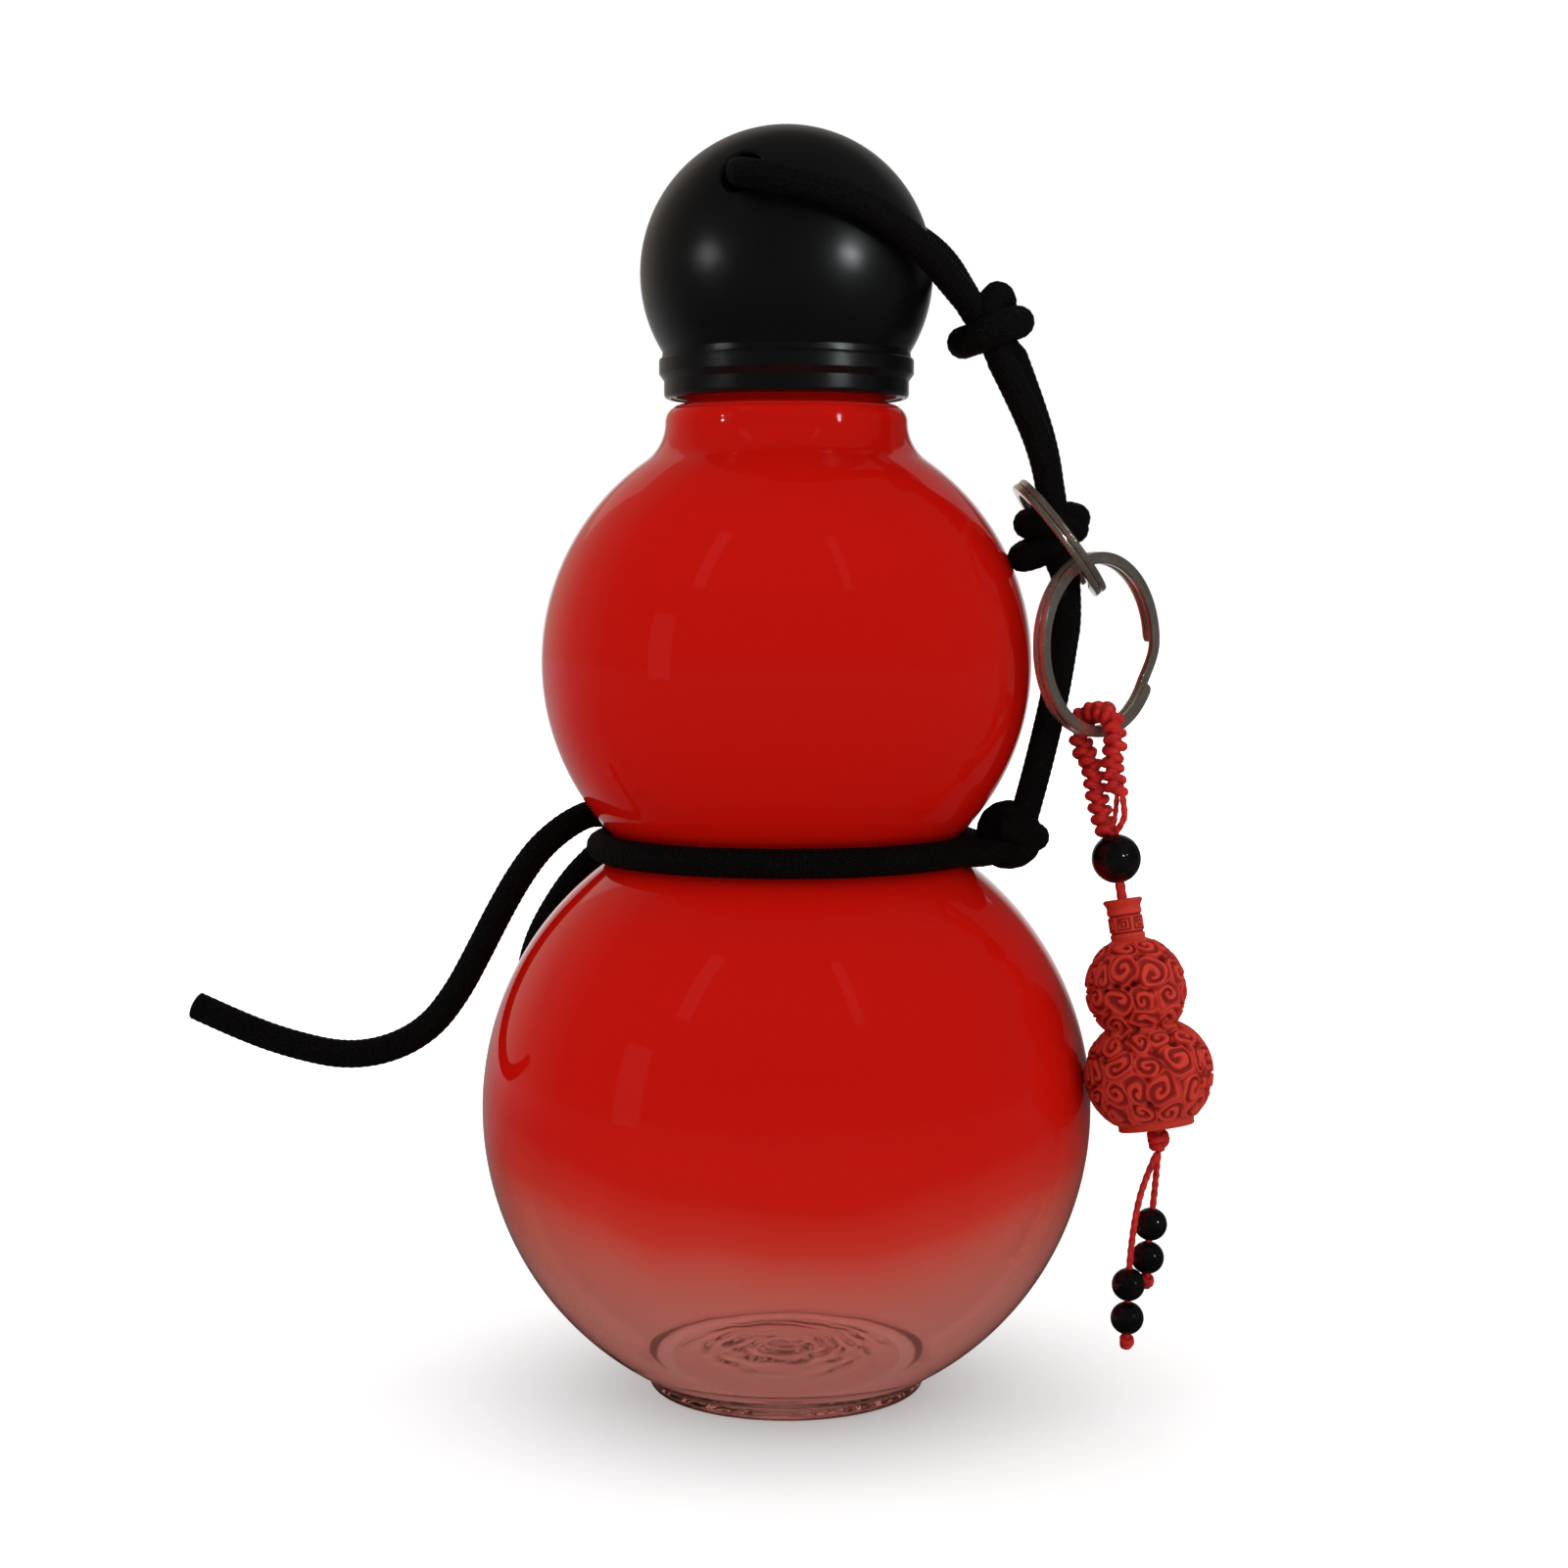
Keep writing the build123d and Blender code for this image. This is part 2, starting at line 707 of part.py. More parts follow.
def string_beads(route):
    """The beads on a hanging string, from the lowest up, each on its own run of the string."""
    beads = []
    for place in range(beads_per_string):
        height = route[-1][2] + string_knot_radius + small_bead_diameter / 2 + place * small_bead_pitch
        upper, lower = Vector(*route[-2 - place]), Vector(*route[-1 - place])
        share = (upper.Z - height) / (upper.Z - lower.Z)
        way = lower - upper
        bore = string_diameter / 2 + thread_clearance
        beads.append(bored_ball(Plane(origin=upper + way * share, z_dir=way), small_bead_diameter, bore))
    return beads


def make_end_knot(route):
    """The knot that keeps the beads on a string."""
    with BuildPart() as knot:
        with Locations(route[-1]):
            Sphere(string_knot_radius)
    return knot.part


cord_routes = {
    "cap_strand_front": front_strand_route,
    "cap_strand_back": back_strand_route,
    "upper_strand_front": upper_front_route,
    "upper_strand_back": upper_back_route,
    "lower_strand_front": lower_front_route,
    "lower_strand_back": lower_back_route,
    "long_tail": long_tail_route,
    "short_tail": short_tail_route,
}
string_routes = {"long_string": long_string_route, "short_string": short_string_route}
knots = {
    "cap_knot": cap_knot,
    "ring_knot": ring_knot,
    "waist_knot": waist_knot,
    "tie_knot": tie_knot,
}
waist_loops = {"waist_loop_front": front_loop, "waist_loop_back": back_loop}

parts = {
    "bottle_glass": make_glass(thread_ridge(finish_radius, finish_radius + thread_depth)),
    "cap_shell": make_cap_shell(make_cap_cavity()),
    "cap_thread_insert": make_insert(thread_ridge(insert_root_radius, insert_crest_radius)),
    "cap_gasket": make_gasket(),
    "cap_bore_cord": make_bore_cord(),
    "link_ring": make_split_ring(link_place, link_outer_diameter, link_width, link_turn_thickness),
    "key_ring": make_split_ring(key_place, key_outer_diameter, key_width, key_turn_thickness),
    "charm_braid": make_braid(),
    "charm_side_thread": make_side_thread(),
    "charm_thread": make_charm_thread(),
    "charm_bead": bored_ball(on_charm(bead_drop), bead_diameter, thread_diameter / 2 + thread_clearance),
    "gourd_pendant": make_pendant(),
    "pendant_stop_knot": make_stop_knot(),
}

for name, route in cord_routes.items():
    parts[name] = tube_along(route, cord_diameter)

for name, (start_turn, turn) in waist_loops.items():
    parts[name] = tube_round(waist_height, loop_radius, start_turn, turn, cord_diameter)

for name, (centre, way, half_length, turns) in knots.items():
    parts[name] = make_knot(centre, way, half_length, turns)

for name, route in string_routes.items():
    parts[name] = tube_along(route, string_diameter)
    parts[f"{name}_knot"] = make_end_knot(route)
    parts[f"{name}_lower_bead"], parts[f"{name}_upper_bead"] = string_beads(route)

for name, solid in parts.items():
    solid.label = name
    export_step(solid, f"parts/{name}.step")
    print(name, len(solid.solids()), round(solid.volume, 1), solid.is_valid)
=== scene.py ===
import random
from math import atan2, cos, exp, hypot, pi, radians, sin, sqrt

import bpy
from mathutils import Matrix, Vector
from mathutils.noise import noise


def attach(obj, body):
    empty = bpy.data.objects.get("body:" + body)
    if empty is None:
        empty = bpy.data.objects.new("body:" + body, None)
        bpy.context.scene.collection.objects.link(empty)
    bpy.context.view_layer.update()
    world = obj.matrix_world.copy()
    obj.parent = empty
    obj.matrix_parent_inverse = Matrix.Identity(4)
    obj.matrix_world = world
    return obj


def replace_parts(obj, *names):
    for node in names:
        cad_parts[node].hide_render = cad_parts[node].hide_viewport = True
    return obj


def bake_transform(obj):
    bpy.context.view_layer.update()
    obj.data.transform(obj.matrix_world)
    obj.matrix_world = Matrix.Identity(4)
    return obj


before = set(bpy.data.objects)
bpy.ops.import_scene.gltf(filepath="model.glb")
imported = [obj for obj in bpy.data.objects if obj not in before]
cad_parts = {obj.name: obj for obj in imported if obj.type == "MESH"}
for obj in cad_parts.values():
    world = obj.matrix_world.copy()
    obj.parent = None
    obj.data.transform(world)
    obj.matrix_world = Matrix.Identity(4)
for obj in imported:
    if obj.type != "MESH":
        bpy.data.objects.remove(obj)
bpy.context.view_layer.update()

# Metres, in the frame of the solids: the foot's centre on the ground, +Z up, the charm on +X.

# Camera
camera_place = (-0.00043, -0.459, 0.14142)
camera_pitch = 4.43
camera_sensor = 36.0
photo_side = 1601
photo_focal = 2700
camera_clips = (0.01, 20)

# Glass
lower_radius = 0.0531
upper_radius = 0.0424
lower_height = 0.049665
upper_height = 0.126965
waist_height = 0.09534
waist_blend = 0.003
glass_wall = 0.0026
foot_radius = 0.0242
foot_round = 0.0013
foot_ring_width = 0.0024
foot_height = 0.0024
punt_depth = 0.0018
floor_height = 0.0052
floor_rise = 0.001
neck_radius = 0.0209
neck_blend = 0.008
shoulder_round = 0.003
neck_bore_radius = 0.015
finish_radius = 0.0172
finish_height = 0.0125
rim_round = 0.0007
thread_lead = 0.006
thread_turns = 0.9
thread_depth = 0.0014
thread_root = 0.0019
thread_crest = 0.0006
thread_offset = 0.003

# Cord
cord_diameter = 0.005
weave_relief = 0.00008
weave_carriers = 14
weave_pitch = 0.0026

# Routes of the cord and strings in millimetres, point by point, as in the solids
route_points = {
    "long_tail": [
        (-30.0, 21.3, 98.0), (-33.9, 15.6, 99.9), (-38.3, 10.8, 98.4), (-43.4, 8.0, 94.4),
        (-47.2, 6.2, 89.2), (-50.7, 4.8, 83.0), (-54.2, 3.4, 76.0), (-57.9, 2.0, 69.0), (-62.6, 0.9, 62.9),
        (-69.3, 0.2, 59.2), (-77.2, 0.0, 58.0), (-85.8, 0.0, 59.8), (-94.6, 0.0, 62.8), (-103.3, 0.0, 66.9),
    ],
    "short_tail": [
        (-30.2, 24.2, 95.6), (-34.2, 22.0, 91.6), (-38.3, 19.6, 87.6), (-41.9, 18.9, 82.4),
        (-45.1, 20.6, 76.6), (-47.2, 23.6, 70.4), (-48.0, 26.6, 64.2),
    ],
    "cap_strand_front": [
        (-6.55, -16.2, 207.9), (-7.75, -19.2, 207.9), (-7.1, -22.2, 207.5), (-4.8, -24.4, 206.8),
        (2.0, -25.4, 205.6), (9.0, -24.9, 203.6), (16.0, -22.1, 200.6), (22.3, -17.4, 196.2),
        (26.8, -12.3, 191.9), (31.0, -7.8, 187.7),
    ],
    "cap_strand_back": [
        (6.55, 16.2, 207.9), (7.7, 19.1, 207.9), (10.3, 21.1, 207.4), (13.4, 21.3, 206.4),
        (19.2, 18.1, 204.3), (24.4, 13.0, 200.6), (27.8, 7.3, 196.4), (30.2, 2.4, 191.3),
        (32.3, -1.8, 186.8),
    ],
    "upper_strand_front": [
        (45.6, -8.8, 150.0), (45.0, -8.9, 154.9), (43.5, -8.1, 162.6), (40.4, -7.4, 170.4),
        (36.2, -7.2, 178.6),
    ],
    "upper_strand_back": [
        (45.9, -3.5, 150.0), (45.4, -3.6, 154.9), (44.4, -2.9, 162.8), (42.0, -2.2, 171.0),
        (38.7, -1.8, 179.7),
    ],
    "lower_strand_front": [
        (40.2, -6.7, 98.6), (41.9, -7.1, 104.8), (43.8, -7.5, 112.6), (45.6, -7.9, 120.6),
        (46.9, -8.3, 128.5), (47.9, -8.7, 136.0), (47.2, -8.8, 142.9),
    ],
    "lower_strand_back": [
        (40.8, -1.4, 98.6), (42.5, -1.7, 104.8), (44.4, -2.1, 112.6), (46.2, -2.5, 120.6),
        (47.5, -2.9, 128.5), (48.4, -3.3, 136.0), (47.7, -3.5, 142.9),
    ],
    "long_string": [
        (62.3, -19.7, 44.9), (60.1, -19.9, 39.9), (58.9, -20.0, 34.7), (58.3, -20.0, 30.2),
        (57.9, -20.0, 25.8), (57.6, -20.0, 19.5), (57.6, -20.0, 12.8),
    ],
    "short_string": [
        (62.9, -17.7, 44.9), (62.7, -17.0, 41.0), (62.2, -16.9, 35.0), (61.4, -16.9, 28.9),
        (61.3, -16.9, 22.4),
    ],
}
waist_loop_radius = 0.032423
waist_knot_turn = -9.0
tie_knot_turn = 140.5

# Split rings
link_centre = (0.0464, -0.0072, 0.1484)
link_tilt = 37.4
link_diameter = 0.0235
link_width = 0.0019
link_turn_thickness = 0.00115
link_end_turn = 20.0
key_centre = (0.0529, -0.0090, 0.1303)
key_turn = 44.5
key_diameter = 0.0315
key_width = 0.0020
key_turn_thickness = 0.00125
key_end_turn = -14.0

# Charm
charm_lean = 11.6
braid_drop = 0.0170
braid_short_drop = 0.0105
bead_drop = 0.0219
pendant_drop = 0.0288
pendant_height = 0.0390
thread_diameter = 0.0018
string_diameter = 0.0012
string_knot_radius = 0.00125
string_knot_thread = 0.0005
stop_knot_radius = 0.0019
stop_knot_thread = 0.00075


def direction(turn, lean=0.0):
    """Unit vector at a turn about Z from +X, leaning up."""
    turn, lean = radians(turn), radians(lean)
    return Vector((cos(turn) * cos(lean), sin(turn) * cos(lean), sin(lean)))


key_across = direction(key_turn)
key_out = direction(key_turn - 90)
hook = Vector(key_centre) - Vector((0, 0, key_diameter / 2 - key_width / 2))
charm_down = key_out * sin(radians(charm_lean)) - Vector((0, 0, cos(radians(charm_lean))))


def on_charm(drop):
    """Point of the charm's axis at a distance below the key ring's wire."""
    return hook + charm_down * drop


# Materials
#
# Stops of a ramp give a colour, or one number for a grey.

noise_detail = 2.0
glass_ior = 1.5

coat_top = 0.18
# Painted light: how far the coat's fade rises towards the sides seen left and right by the camera
coat_painted_rim_rise = 3.5
coat_noise = 30.0
coat_wobble = 0.05
coat_roughness = 0.04
coat_colours = [
    (0.0, (0.66, 0.24, 0.20)), (0.12, (0.68, 0.22, 0.18)), (0.18, (0.69, 0.12, 0.085)),
    (0.225, (0.66, 0.026, 0.015)), (0.27, (0.62, 0.0060, 0.0024)), (1.0, (0.62, 0.0060, 0.0024)),
]
coat_clearness = [(0.0, 0.97), (0.12, 0.93), (0.18, 0.70), (0.225, 0.40), (0.29, 0.22), (1.0, 0.20)]
inside_tint = (0.96, 0.93, 0.92, 1)
inside_finish = {"Base Color": inside_tint, "Transmission Weight": 1.0, "Roughness": 0.0, "IOR": glass_ior}
draw_mark_noise = 60.0
draw_mark_bump = (0.15, 0.0004)

satin_finish = {"IOR": 1.45}
satin_noise = 40.0
satin_shades = [(0.3, (0.0022, 0.0022, 0.0024)), (0.7, (0.0036, 0.0036, 0.0036))]
satin_grain = (900.0, 3.0)
satin_roughness = (0.10, 0.25)
satin_bump = (0.12, 0.00005)

yarn_turns = 2
yarn_painted_shade_share = 0.25
yarn_height_share = 0.5
cord_fuzz_noise = 2500.0
# Cord tones, lighter on the weave's raised yarns and darker in its hollows: painted shade
cord_shades = [
    (0.25, (0.0008, 0.0007, 0.0006)), (0.6, (0.0022, 0.0018, 0.0016)), (0.9, (0.0060, 0.0048, 0.0042)),
]
cord_finish = {
    "Roughness": 0.8, "Specular IOR Level": 0.1, "Sheen Weight": 0.012, "Sheen Roughness": 0.5,
    "Sheen Tint": (0.5, 0.42, 0.38, 1),
}
cord_bump = (0.5, 0.00012)

ring_finish = {"Metallic": 0.94}
ring_noise = 300.0
ring_shades = [(0.3, (0.56, 0.48, 0.40)), (0.7, (0.70, 0.61, 0.52))]
ring_wear_detail = 3.0
ring_roughness = (0.12, 0.20)

thread_fine_noise = 3000.0
thread_broad_noise = (700.0, 1.0)
thread_shades = [(0.3, (0.22, 0.003, 0.003)), (0.55, (0.50, 0.009, 0.007)), (0.8, (0.66, 0.028, 0.016))]
thread_finish = {
    "Roughness": 0.6, "Specular IOR Level": 0.25, "Sheen Weight": 0.06, "Sheen Roughness": 0.4,
    "Sheen Tint": (1.0, 0.35, 0.25, 1),
}
thread_bump = (0.6, 0.0001)

carved_finish = {"Roughness": 0.6, "Specular IOR Level": 0.2}
carved_noise = 900.0
carved_noise_share = 0.18
# Carved red, carried by the painted shade of the relief: near black in the pits, dark in the cuts, pale on
# the ridges
carved_shades = [
    (0.0, (0.012, 0.0015, 0.001)), (0.3, (0.19, 0.006, 0.004)), (0.7, (0.42, 0.015, 0.008)),
    (1.0, (0.54, 0.034, 0.018)),
]
carved_grain = (2200.0, 3.0)
carved_bump = (0.25, 0.0001)

# Plain materials: scale of the patches, shades and finish
liner_facts = (120.0, [(0.3, (0.55, 0.53, 0.49)), (0.7, (0.62, 0.60, 0.56))], {"Roughness": 0.45})
seal_facts = (200.0, [(0.3, (0.40, 0.39, 0.37)), (0.7, (0.46, 0.45, 0.43))], {"Roughness": 0.7})
bead_finish = {"Roughness": 0.12, "IOR": glass_ior}
bead_facts = (400.0, [(0.4, 0.0015), (0.8, (0.006, 0.005, 0.005))], bead_finish)


def new_material(name, finish):
    """An empty node material and its shader, with the constants of its finish."""
    made = bpy.data.materials.new(name)
    made.use_nodes = True
    shader = made.node_tree.nodes["Principled BSDF"]
    for socket, value in finish.items():
        shader.inputs[socket].default_value = value
    return made, made.node_tree, shader


def add_math(tree, operation, first, second):
    """A Math node on links or numbers."""
    made = tree.nodes.new("ShaderNodeMath")
    made.operation = operation
    for place, value in enumerate((first, second)):
        if isinstance(value, (int, float)):
            made.inputs[place].default_value = value
        else:
            tree.links.new(value, made.inputs[place])
    return made.outputs[0]


def add_sine(tree, value):
    """A Math node for the sine of a link."""
    made = tree.nodes.new("ShaderNodeMath")
    made.operation = "SINE"
    tree.links.new(value, made.inputs[0])
    return made.outputs[0]


def add_scaled(tree, value, share, offset):
    """A share of a link's value on top of an offset, which is a link or a number."""
    return add_math(tree, "ADD", add_math(tree, "MULTIPLY", value, share), offset)


def add_ramp(tree, factor, stops):
    """A colour ramp driven by a link."""
    made = tree.nodes.new("ShaderNodeValToRGB")
    ramp = made.color_ramp
    while len(ramp.elements) < len(stops):
        ramp.elements.new(0.5)
    for element, (place, colour) in zip(ramp.elements, stops):
        element.position = place
        element.color = (*colour, 1) if isinstance(colour, tuple) else (colour, colour, colour, 1)
    tree.links.new(factor, made.inputs[0])
    return made.outputs[0]


def add_bump(tree, shader, height, bump):
    """Bump from a height link on a shader's normal, by its strength and distance."""
    made = tree.nodes.new("ShaderNodeBump")
    made.inputs["Strength"].default_value, made.inputs["Distance"].default_value = bump
    tree.links.new(height, made.inputs["Height"])
    tree.links.new(made.outputs[0], shader.inputs["Normal"])


def object_noise(tree, scale, detail=noise_detail):
    """Noise in the object's own coordinates."""
    place = tree.nodes.new("ShaderNodeTexCoord")
    made = tree.nodes.new("ShaderNodeTexNoise")
    made.inputs["Scale"].default_value = scale
    made.inputs["Detail"].default_value = detail
    tree.links.new(place.outputs["Object"], made.inputs["Vector"])
    return made.outputs["Fac"]


def make_plain(name, scale, shades, finish):
    """A material with two close shades in soft patches."""
    made, tree, shader = new_material(name, finish)
    tree.links.new(add_ramp(tree, object_noise(tree, scale), shades), shader.inputs["Base Color"])
    return made, tree, shader


def make_coated_glass():
    """Clear glass under a red coat that thins out towards the foot; the fade is painted higher towards the
    left and right sides, as the camera sees them, a painted lightening that stands in for the glow along
    those sides.
    """
    made, tree, shader = new_material("red_coated_glass", {"Roughness": coat_roughness, "IOR": glass_ior})
    place = tree.nodes.new("ShaderNodeTexCoord")
    split = tree.nodes.new("ShaderNodeSeparateXYZ")
    tree.links.new(place.outputs["Object"], split.inputs[0])
    # Painted light: the fade rises towards the sides seen left and right by the camera, so the glass there
    # is painted paler and clearer
    side = add_math(tree, "MULTIPLY", add_math(tree, "POWER", split.outputs["X"], 2.0), coat_painted_rim_rise)
    height = add_math(tree, "DIVIDE", add_math(tree, "SUBTRACT", split.outputs["Z"], side), coat_top)
    height = add_scaled(tree, object_noise(tree, coat_noise), coat_wobble, height)
    tree.links.new(add_ramp(tree, height, coat_colours), shader.inputs["Base Color"])
    tree.links.new(add_ramp(tree, height, coat_clearness), shader.inputs["Transmission Weight"])
    return made


def make_clear_glass():
    """The inside face of the glass, with faint draw marks of the blowing."""
    made, tree, shader = new_material("clear_glass", inside_finish)
    add_bump(tree, shader, object_noise(tree, draw_mark_noise), draw_mark_bump)
    return made


def make_satin_black():
    """Moulded black plastic with a satin skin."""
    made, tree, shader = make_plain("satin_black", satin_noise, satin_shades, satin_finish)
    grain = object_noise(tree, *satin_grain)
    tree.links.new(add_scaled(tree, grain, *satin_roughness), shader.inputs["Roughness"])
    add_bump(tree, shader, grain, satin_bump)
    return made


def make_cord_weave():
    """Near-black braided cord, with its yarns along the braid's two ways, and painted shade: lighter on the
    raised yarns, darker in the hollows between them.
    """
    made, tree, shader = new_material("black_cord", cord_finish)
    uv = tree.nodes.new("ShaderNodeUVMap")
    split = tree.nodes.new("ShaderNodeSeparateXYZ")
    tree.links.new(uv.outputs[0], split.inputs[0])
    along = add_math(tree, "MULTIPLY", split.outputs["X"], 2 * pi * yarn_turns / weave_pitch)
    around = add_math(tree, "MULTIPLY", split.outputs["Y"], 2 * pi * yarn_turns * weave_carriers)
    left = add_sine(tree, add_math(tree, "ADD", along, around))
    right = add_sine(tree, add_math(tree, "SUBTRACT", along, around))
    yarn = add_math(tree, "MAXIMUM", left, right)
    fuzz = object_noise(tree, cord_fuzz_noise)
    # The colour follows the same pattern as the bump: painted shade in the weave's hollows
    shade = add_ramp(tree, add_scaled(tree, yarn, yarn_painted_shade_share, fuzz), cord_shades)
    tree.links.new(shade, shader.inputs["Base Color"])
    add_bump(tree, shader, add_scaled(tree, yarn, yarn_height_share, fuzz), cord_bump)
    return made


def make_ring_metal():
    """Polished nickel, warm grey, with fine wear along the wire."""
    made, tree, shader = make_plain("ring_nickel", ring_noise, ring_shades, ring_finish)
    wear = object_noise(tree, ring_noise, ring_wear_detail)
    tree.links.new(add_scaled(tree, wear, *ring_roughness), shader.inputs["Roughness"])
    return made


def make_red_thread():
    """Red twisted thread in random tones, with painted shade between its filaments where its fine bump is
    low.
    """
    made, tree, shader = new_material("red_thread", thread_finish)
    fine = object_noise(tree, thread_fine_noise)
    broad = object_noise(tree, *thread_broad_noise)
    # Half the colour follows the fine bump: painted shade where the surface is low; the other half is random
    # tone
    mix = add_scaled(tree, fine, 0.5, add_math(tree, "MULTIPLY", broad, 0.5))
    tree.links.new(add_ramp(tree, mix, thread_shades), shader.inputs["Base Color"])
    add_bump(tree, shader, fine, thread_bump)
    return made


def make_carved_red():
    """Carved lacquer red, with painted shade from the pendant's relief: dark in the cuts, pale along the
    ridges.
    """
    made, tree, shader = new_material("carved_red", carved_finish)
    relief = tree.nodes.new("ShaderNodeAttribute")
    relief.attribute_name = "relief"
    # The relief attribute is the painted shade of the carving
    mix = add_scaled(tree, object_noise(tree, carved_noise), carved_noise_share, relief.outputs["Fac"])
    tree.links.new(add_ramp(tree, mix, carved_shades), shader.inputs["Base Color"])
    add_bump(tree, shader, object_noise(tree, *carved_grain), carved_bump)
    return made


red_glass = make_coated_glass()
clear_glass = make_clear_glass()
satin_black = make_satin_black()
pale_liner = make_plain("pale_liner", *liner_facts)[0]
seal_rubber = make_plain("seal_rubber", *seal_facts)[0]
cord_weave = make_cord_weave()
ring_metal = make_ring_metal()
red_thread = make_red_thread()
black_bead = make_plain("black_bead", *bead_facts)[0]
carved_red = make_carved_red()


# Building blocks


def new_piece(name, vertices, faces, body, material, smooth=True):
    """A mesh object that rides on a body."""
    mesh = bpy.data.meshes.new(name)
    mesh.from_pydata(vertices, [], faces)
    mesh.update()
    if smooth:
        mesh.shade_smooth()
    mesh.materials.append(material)
    made = bpy.data.objects.new(name, mesh)
    bpy.context.scene.collection.objects.link(made)
    if body:
        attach(made, body)
    return made


def grid_faces(rows, columns, wrap_rows=False):
    """Quads between neighbouring rows of points, each row closed."""
    faces = []
    for row in range(rows if wrap_rows else rows - 1):
        for column in range(columns):
            a, b = row * columns, (row + 1) % rows * columns
            c = (column + 1) % columns
            faces.append((a + column, a + c, b + c, b + column))
    return faces


def smooth_line(points, closed=False):
    """Points along the smooth curve of a route."""
    curve = bpy.data.curves.new("route", "CURVE")
    curve.dimensions = "3D"
    curve.resolution_u = route_resolution
    spline = curve.splines.new("NURBS")
    spline.points.add(len(points) - 1)
    for place, point in zip(spline.points, points):
        place.co = (*point, 1)
    spline.order_u = 3
    spline.use_endpoint_u = not closed
    spline.use_cyclic_u = closed
    holder = bpy.data.objects.new("route", curve)
    mesh = bpy.data.meshes.new_from_object(holder)
    line = [vertex.co.copy() for vertex in mesh.vertices]
    bpy.data.objects.remove(holder)
    bpy.data.curves.remove(curve)
    bpy.data.meshes.remove(mesh)
    return line


route_resolution = 16


def even_line(line, step, closed=False):
    """The same line with points a step apart."""
    if closed:
        line = line + [line[0]]
    lengths = [0.0]
    for a, b in zip(line, line[1:]):
        lengths.append(lengths[-1] + (b - a).length)
    count = max(2, round(lengths[-1] / step))
    made, place = [], 0
    for index in range(count + 1):
        wanted = lengths[-1] * index / count
        while place < len(line) - 2 and lengths[place + 1] < wanted:
            place += 1
        span = lengths[place + 1] - lengths[place] or 1
        made.append(line[place].lerp(line[place + 1], (wanted - lengths[place]) / span))
    return made[:-1] if closed else made


def line_frames(line, closed=False):
    """A tangent and two normals at each point, with no twist between neighbours."""
    count = len(line)
    tangents = []
    for index in range(count):
        before = line[index - 1] if index or closed else line[index]
        after = line[(index + 1) % count] if index < count - 1 or closed else line[index]
        tangents.append((after - before).normalized())
    normal = tangents[0].orthogonal().normalized()
    frames = []
    for tangent in tangents:
        normal = (normal - tangent * normal.dot(tangent)).normalized()
        frames.append((tangent, normal, tangent.cross(normal)))
    return frames


def weave_height(along, around):
    """Relief of the braid at a length along the cord and a share of the way round it."""
    run = 2 * pi * along / weave_pitch
    turn = pi * weave_carriers * around
    return weave_relief * cos(run + turn) * cos(run - turn)


def ply_height(along, around):
    """Relief of a thread twisted from two plies."""
    return ply_relief * cos(2 * (2 * pi * around + pi * along / ply_pitch))


def tube_mesh(line, radius, sides, relief=None, closed=False):
    """Vertices, faces and UVs of a tube, with a relief by length and share of the way round."""
    frames = line_frames(line, closed)
    vertices, uvs = [], []
    along = 0.0
    for index, (point, (tangent, normal, side)) in enumerate(zip(line, frames)):
        if index:
            along += (point - line[index - 1]).length
        for step in range(sides):
            turn = 2 * pi * step / sides
            reach = radius + (relief(along, step / sides) if relief else 0.0)
            vertices.append(point + (normal * cos(turn) + side * sin(turn)) * reach)
            uvs.append((along, step / sides))
    faces = grid_faces(len(line), sides, wrap_rows=closed)
    if closed:
        return vertices, faces, uvs
    for end, way, row in ((0, -1, 0), (-1, 1, len(line) - 1)):
        tangent = frames[end][0] * way
        first = row * sides
        previous = list(range(first, first + sides))
        for ring in range(1, end_rings):
            lean = ring / end_rings * pi / 2
            made = []
            for step in range(sides):
                centre = line[end]
                offset = vertices[first + step] - centre
                vertices.append(centre + offset * cos(lean) + tangent * radius * sin(lean) * end_bulge_share)
                uvs.append(uvs[first + step])
                made.append(len(vertices) - 1)
            for step in range(sides):
                after = (step + 1) % sides
                quad = (previous[step], previous[after], made[after], made[step])
                faces.append(quad if way > 0 else quad[::-1])
            previous = made
        vertices.append(line[end] + tangent * radius * end_bulge_share)
        uvs.append(uvs[first])
        tip = len(vertices) - 1
        for step in range(sides):
            after = (step + 1) % sides
            triangle = (previous[step], previous[after], tip)
            faces.append(triangle if way > 0 else triangle[::-1])
    return vertices, faces, uvs


end_bulge_share = 0.35
end_rings = 4


def join_meshes(*parts):
    """Vertices, faces and UVs of several tubes in one mesh."""
    vertices, faces, uvs = [], [], []
    for part_vertices, part_faces, part_uvs in parts:
        first = len(vertices)
        vertices += part_vertices
        uvs += part_uvs
        faces += [tuple(first + index for index in face) for face in part_faces]
    return vertices, faces, uvs


def tube_piece(name, shape, body, material):
    """A piece of one or more tubes, with their UVs."""
    vertices, faces, uvs = shape
    made = new_piece(name, vertices, faces, body, material)
    layer = made.data.uv_layers.new(name="UVMap")
    for face in made.data.polygons:
        shares = [uvs[vertex][1] for vertex in face.vertices]
        wraps = max(shares) - min(shares) > 0.5
        for loop, vertex in zip(face.loop_indices, face.vertices):
            along, around = uvs[vertex]
            layer.data[loop].uv = (along, around + 1 if wraps and around < 0.5 else around)
    return made


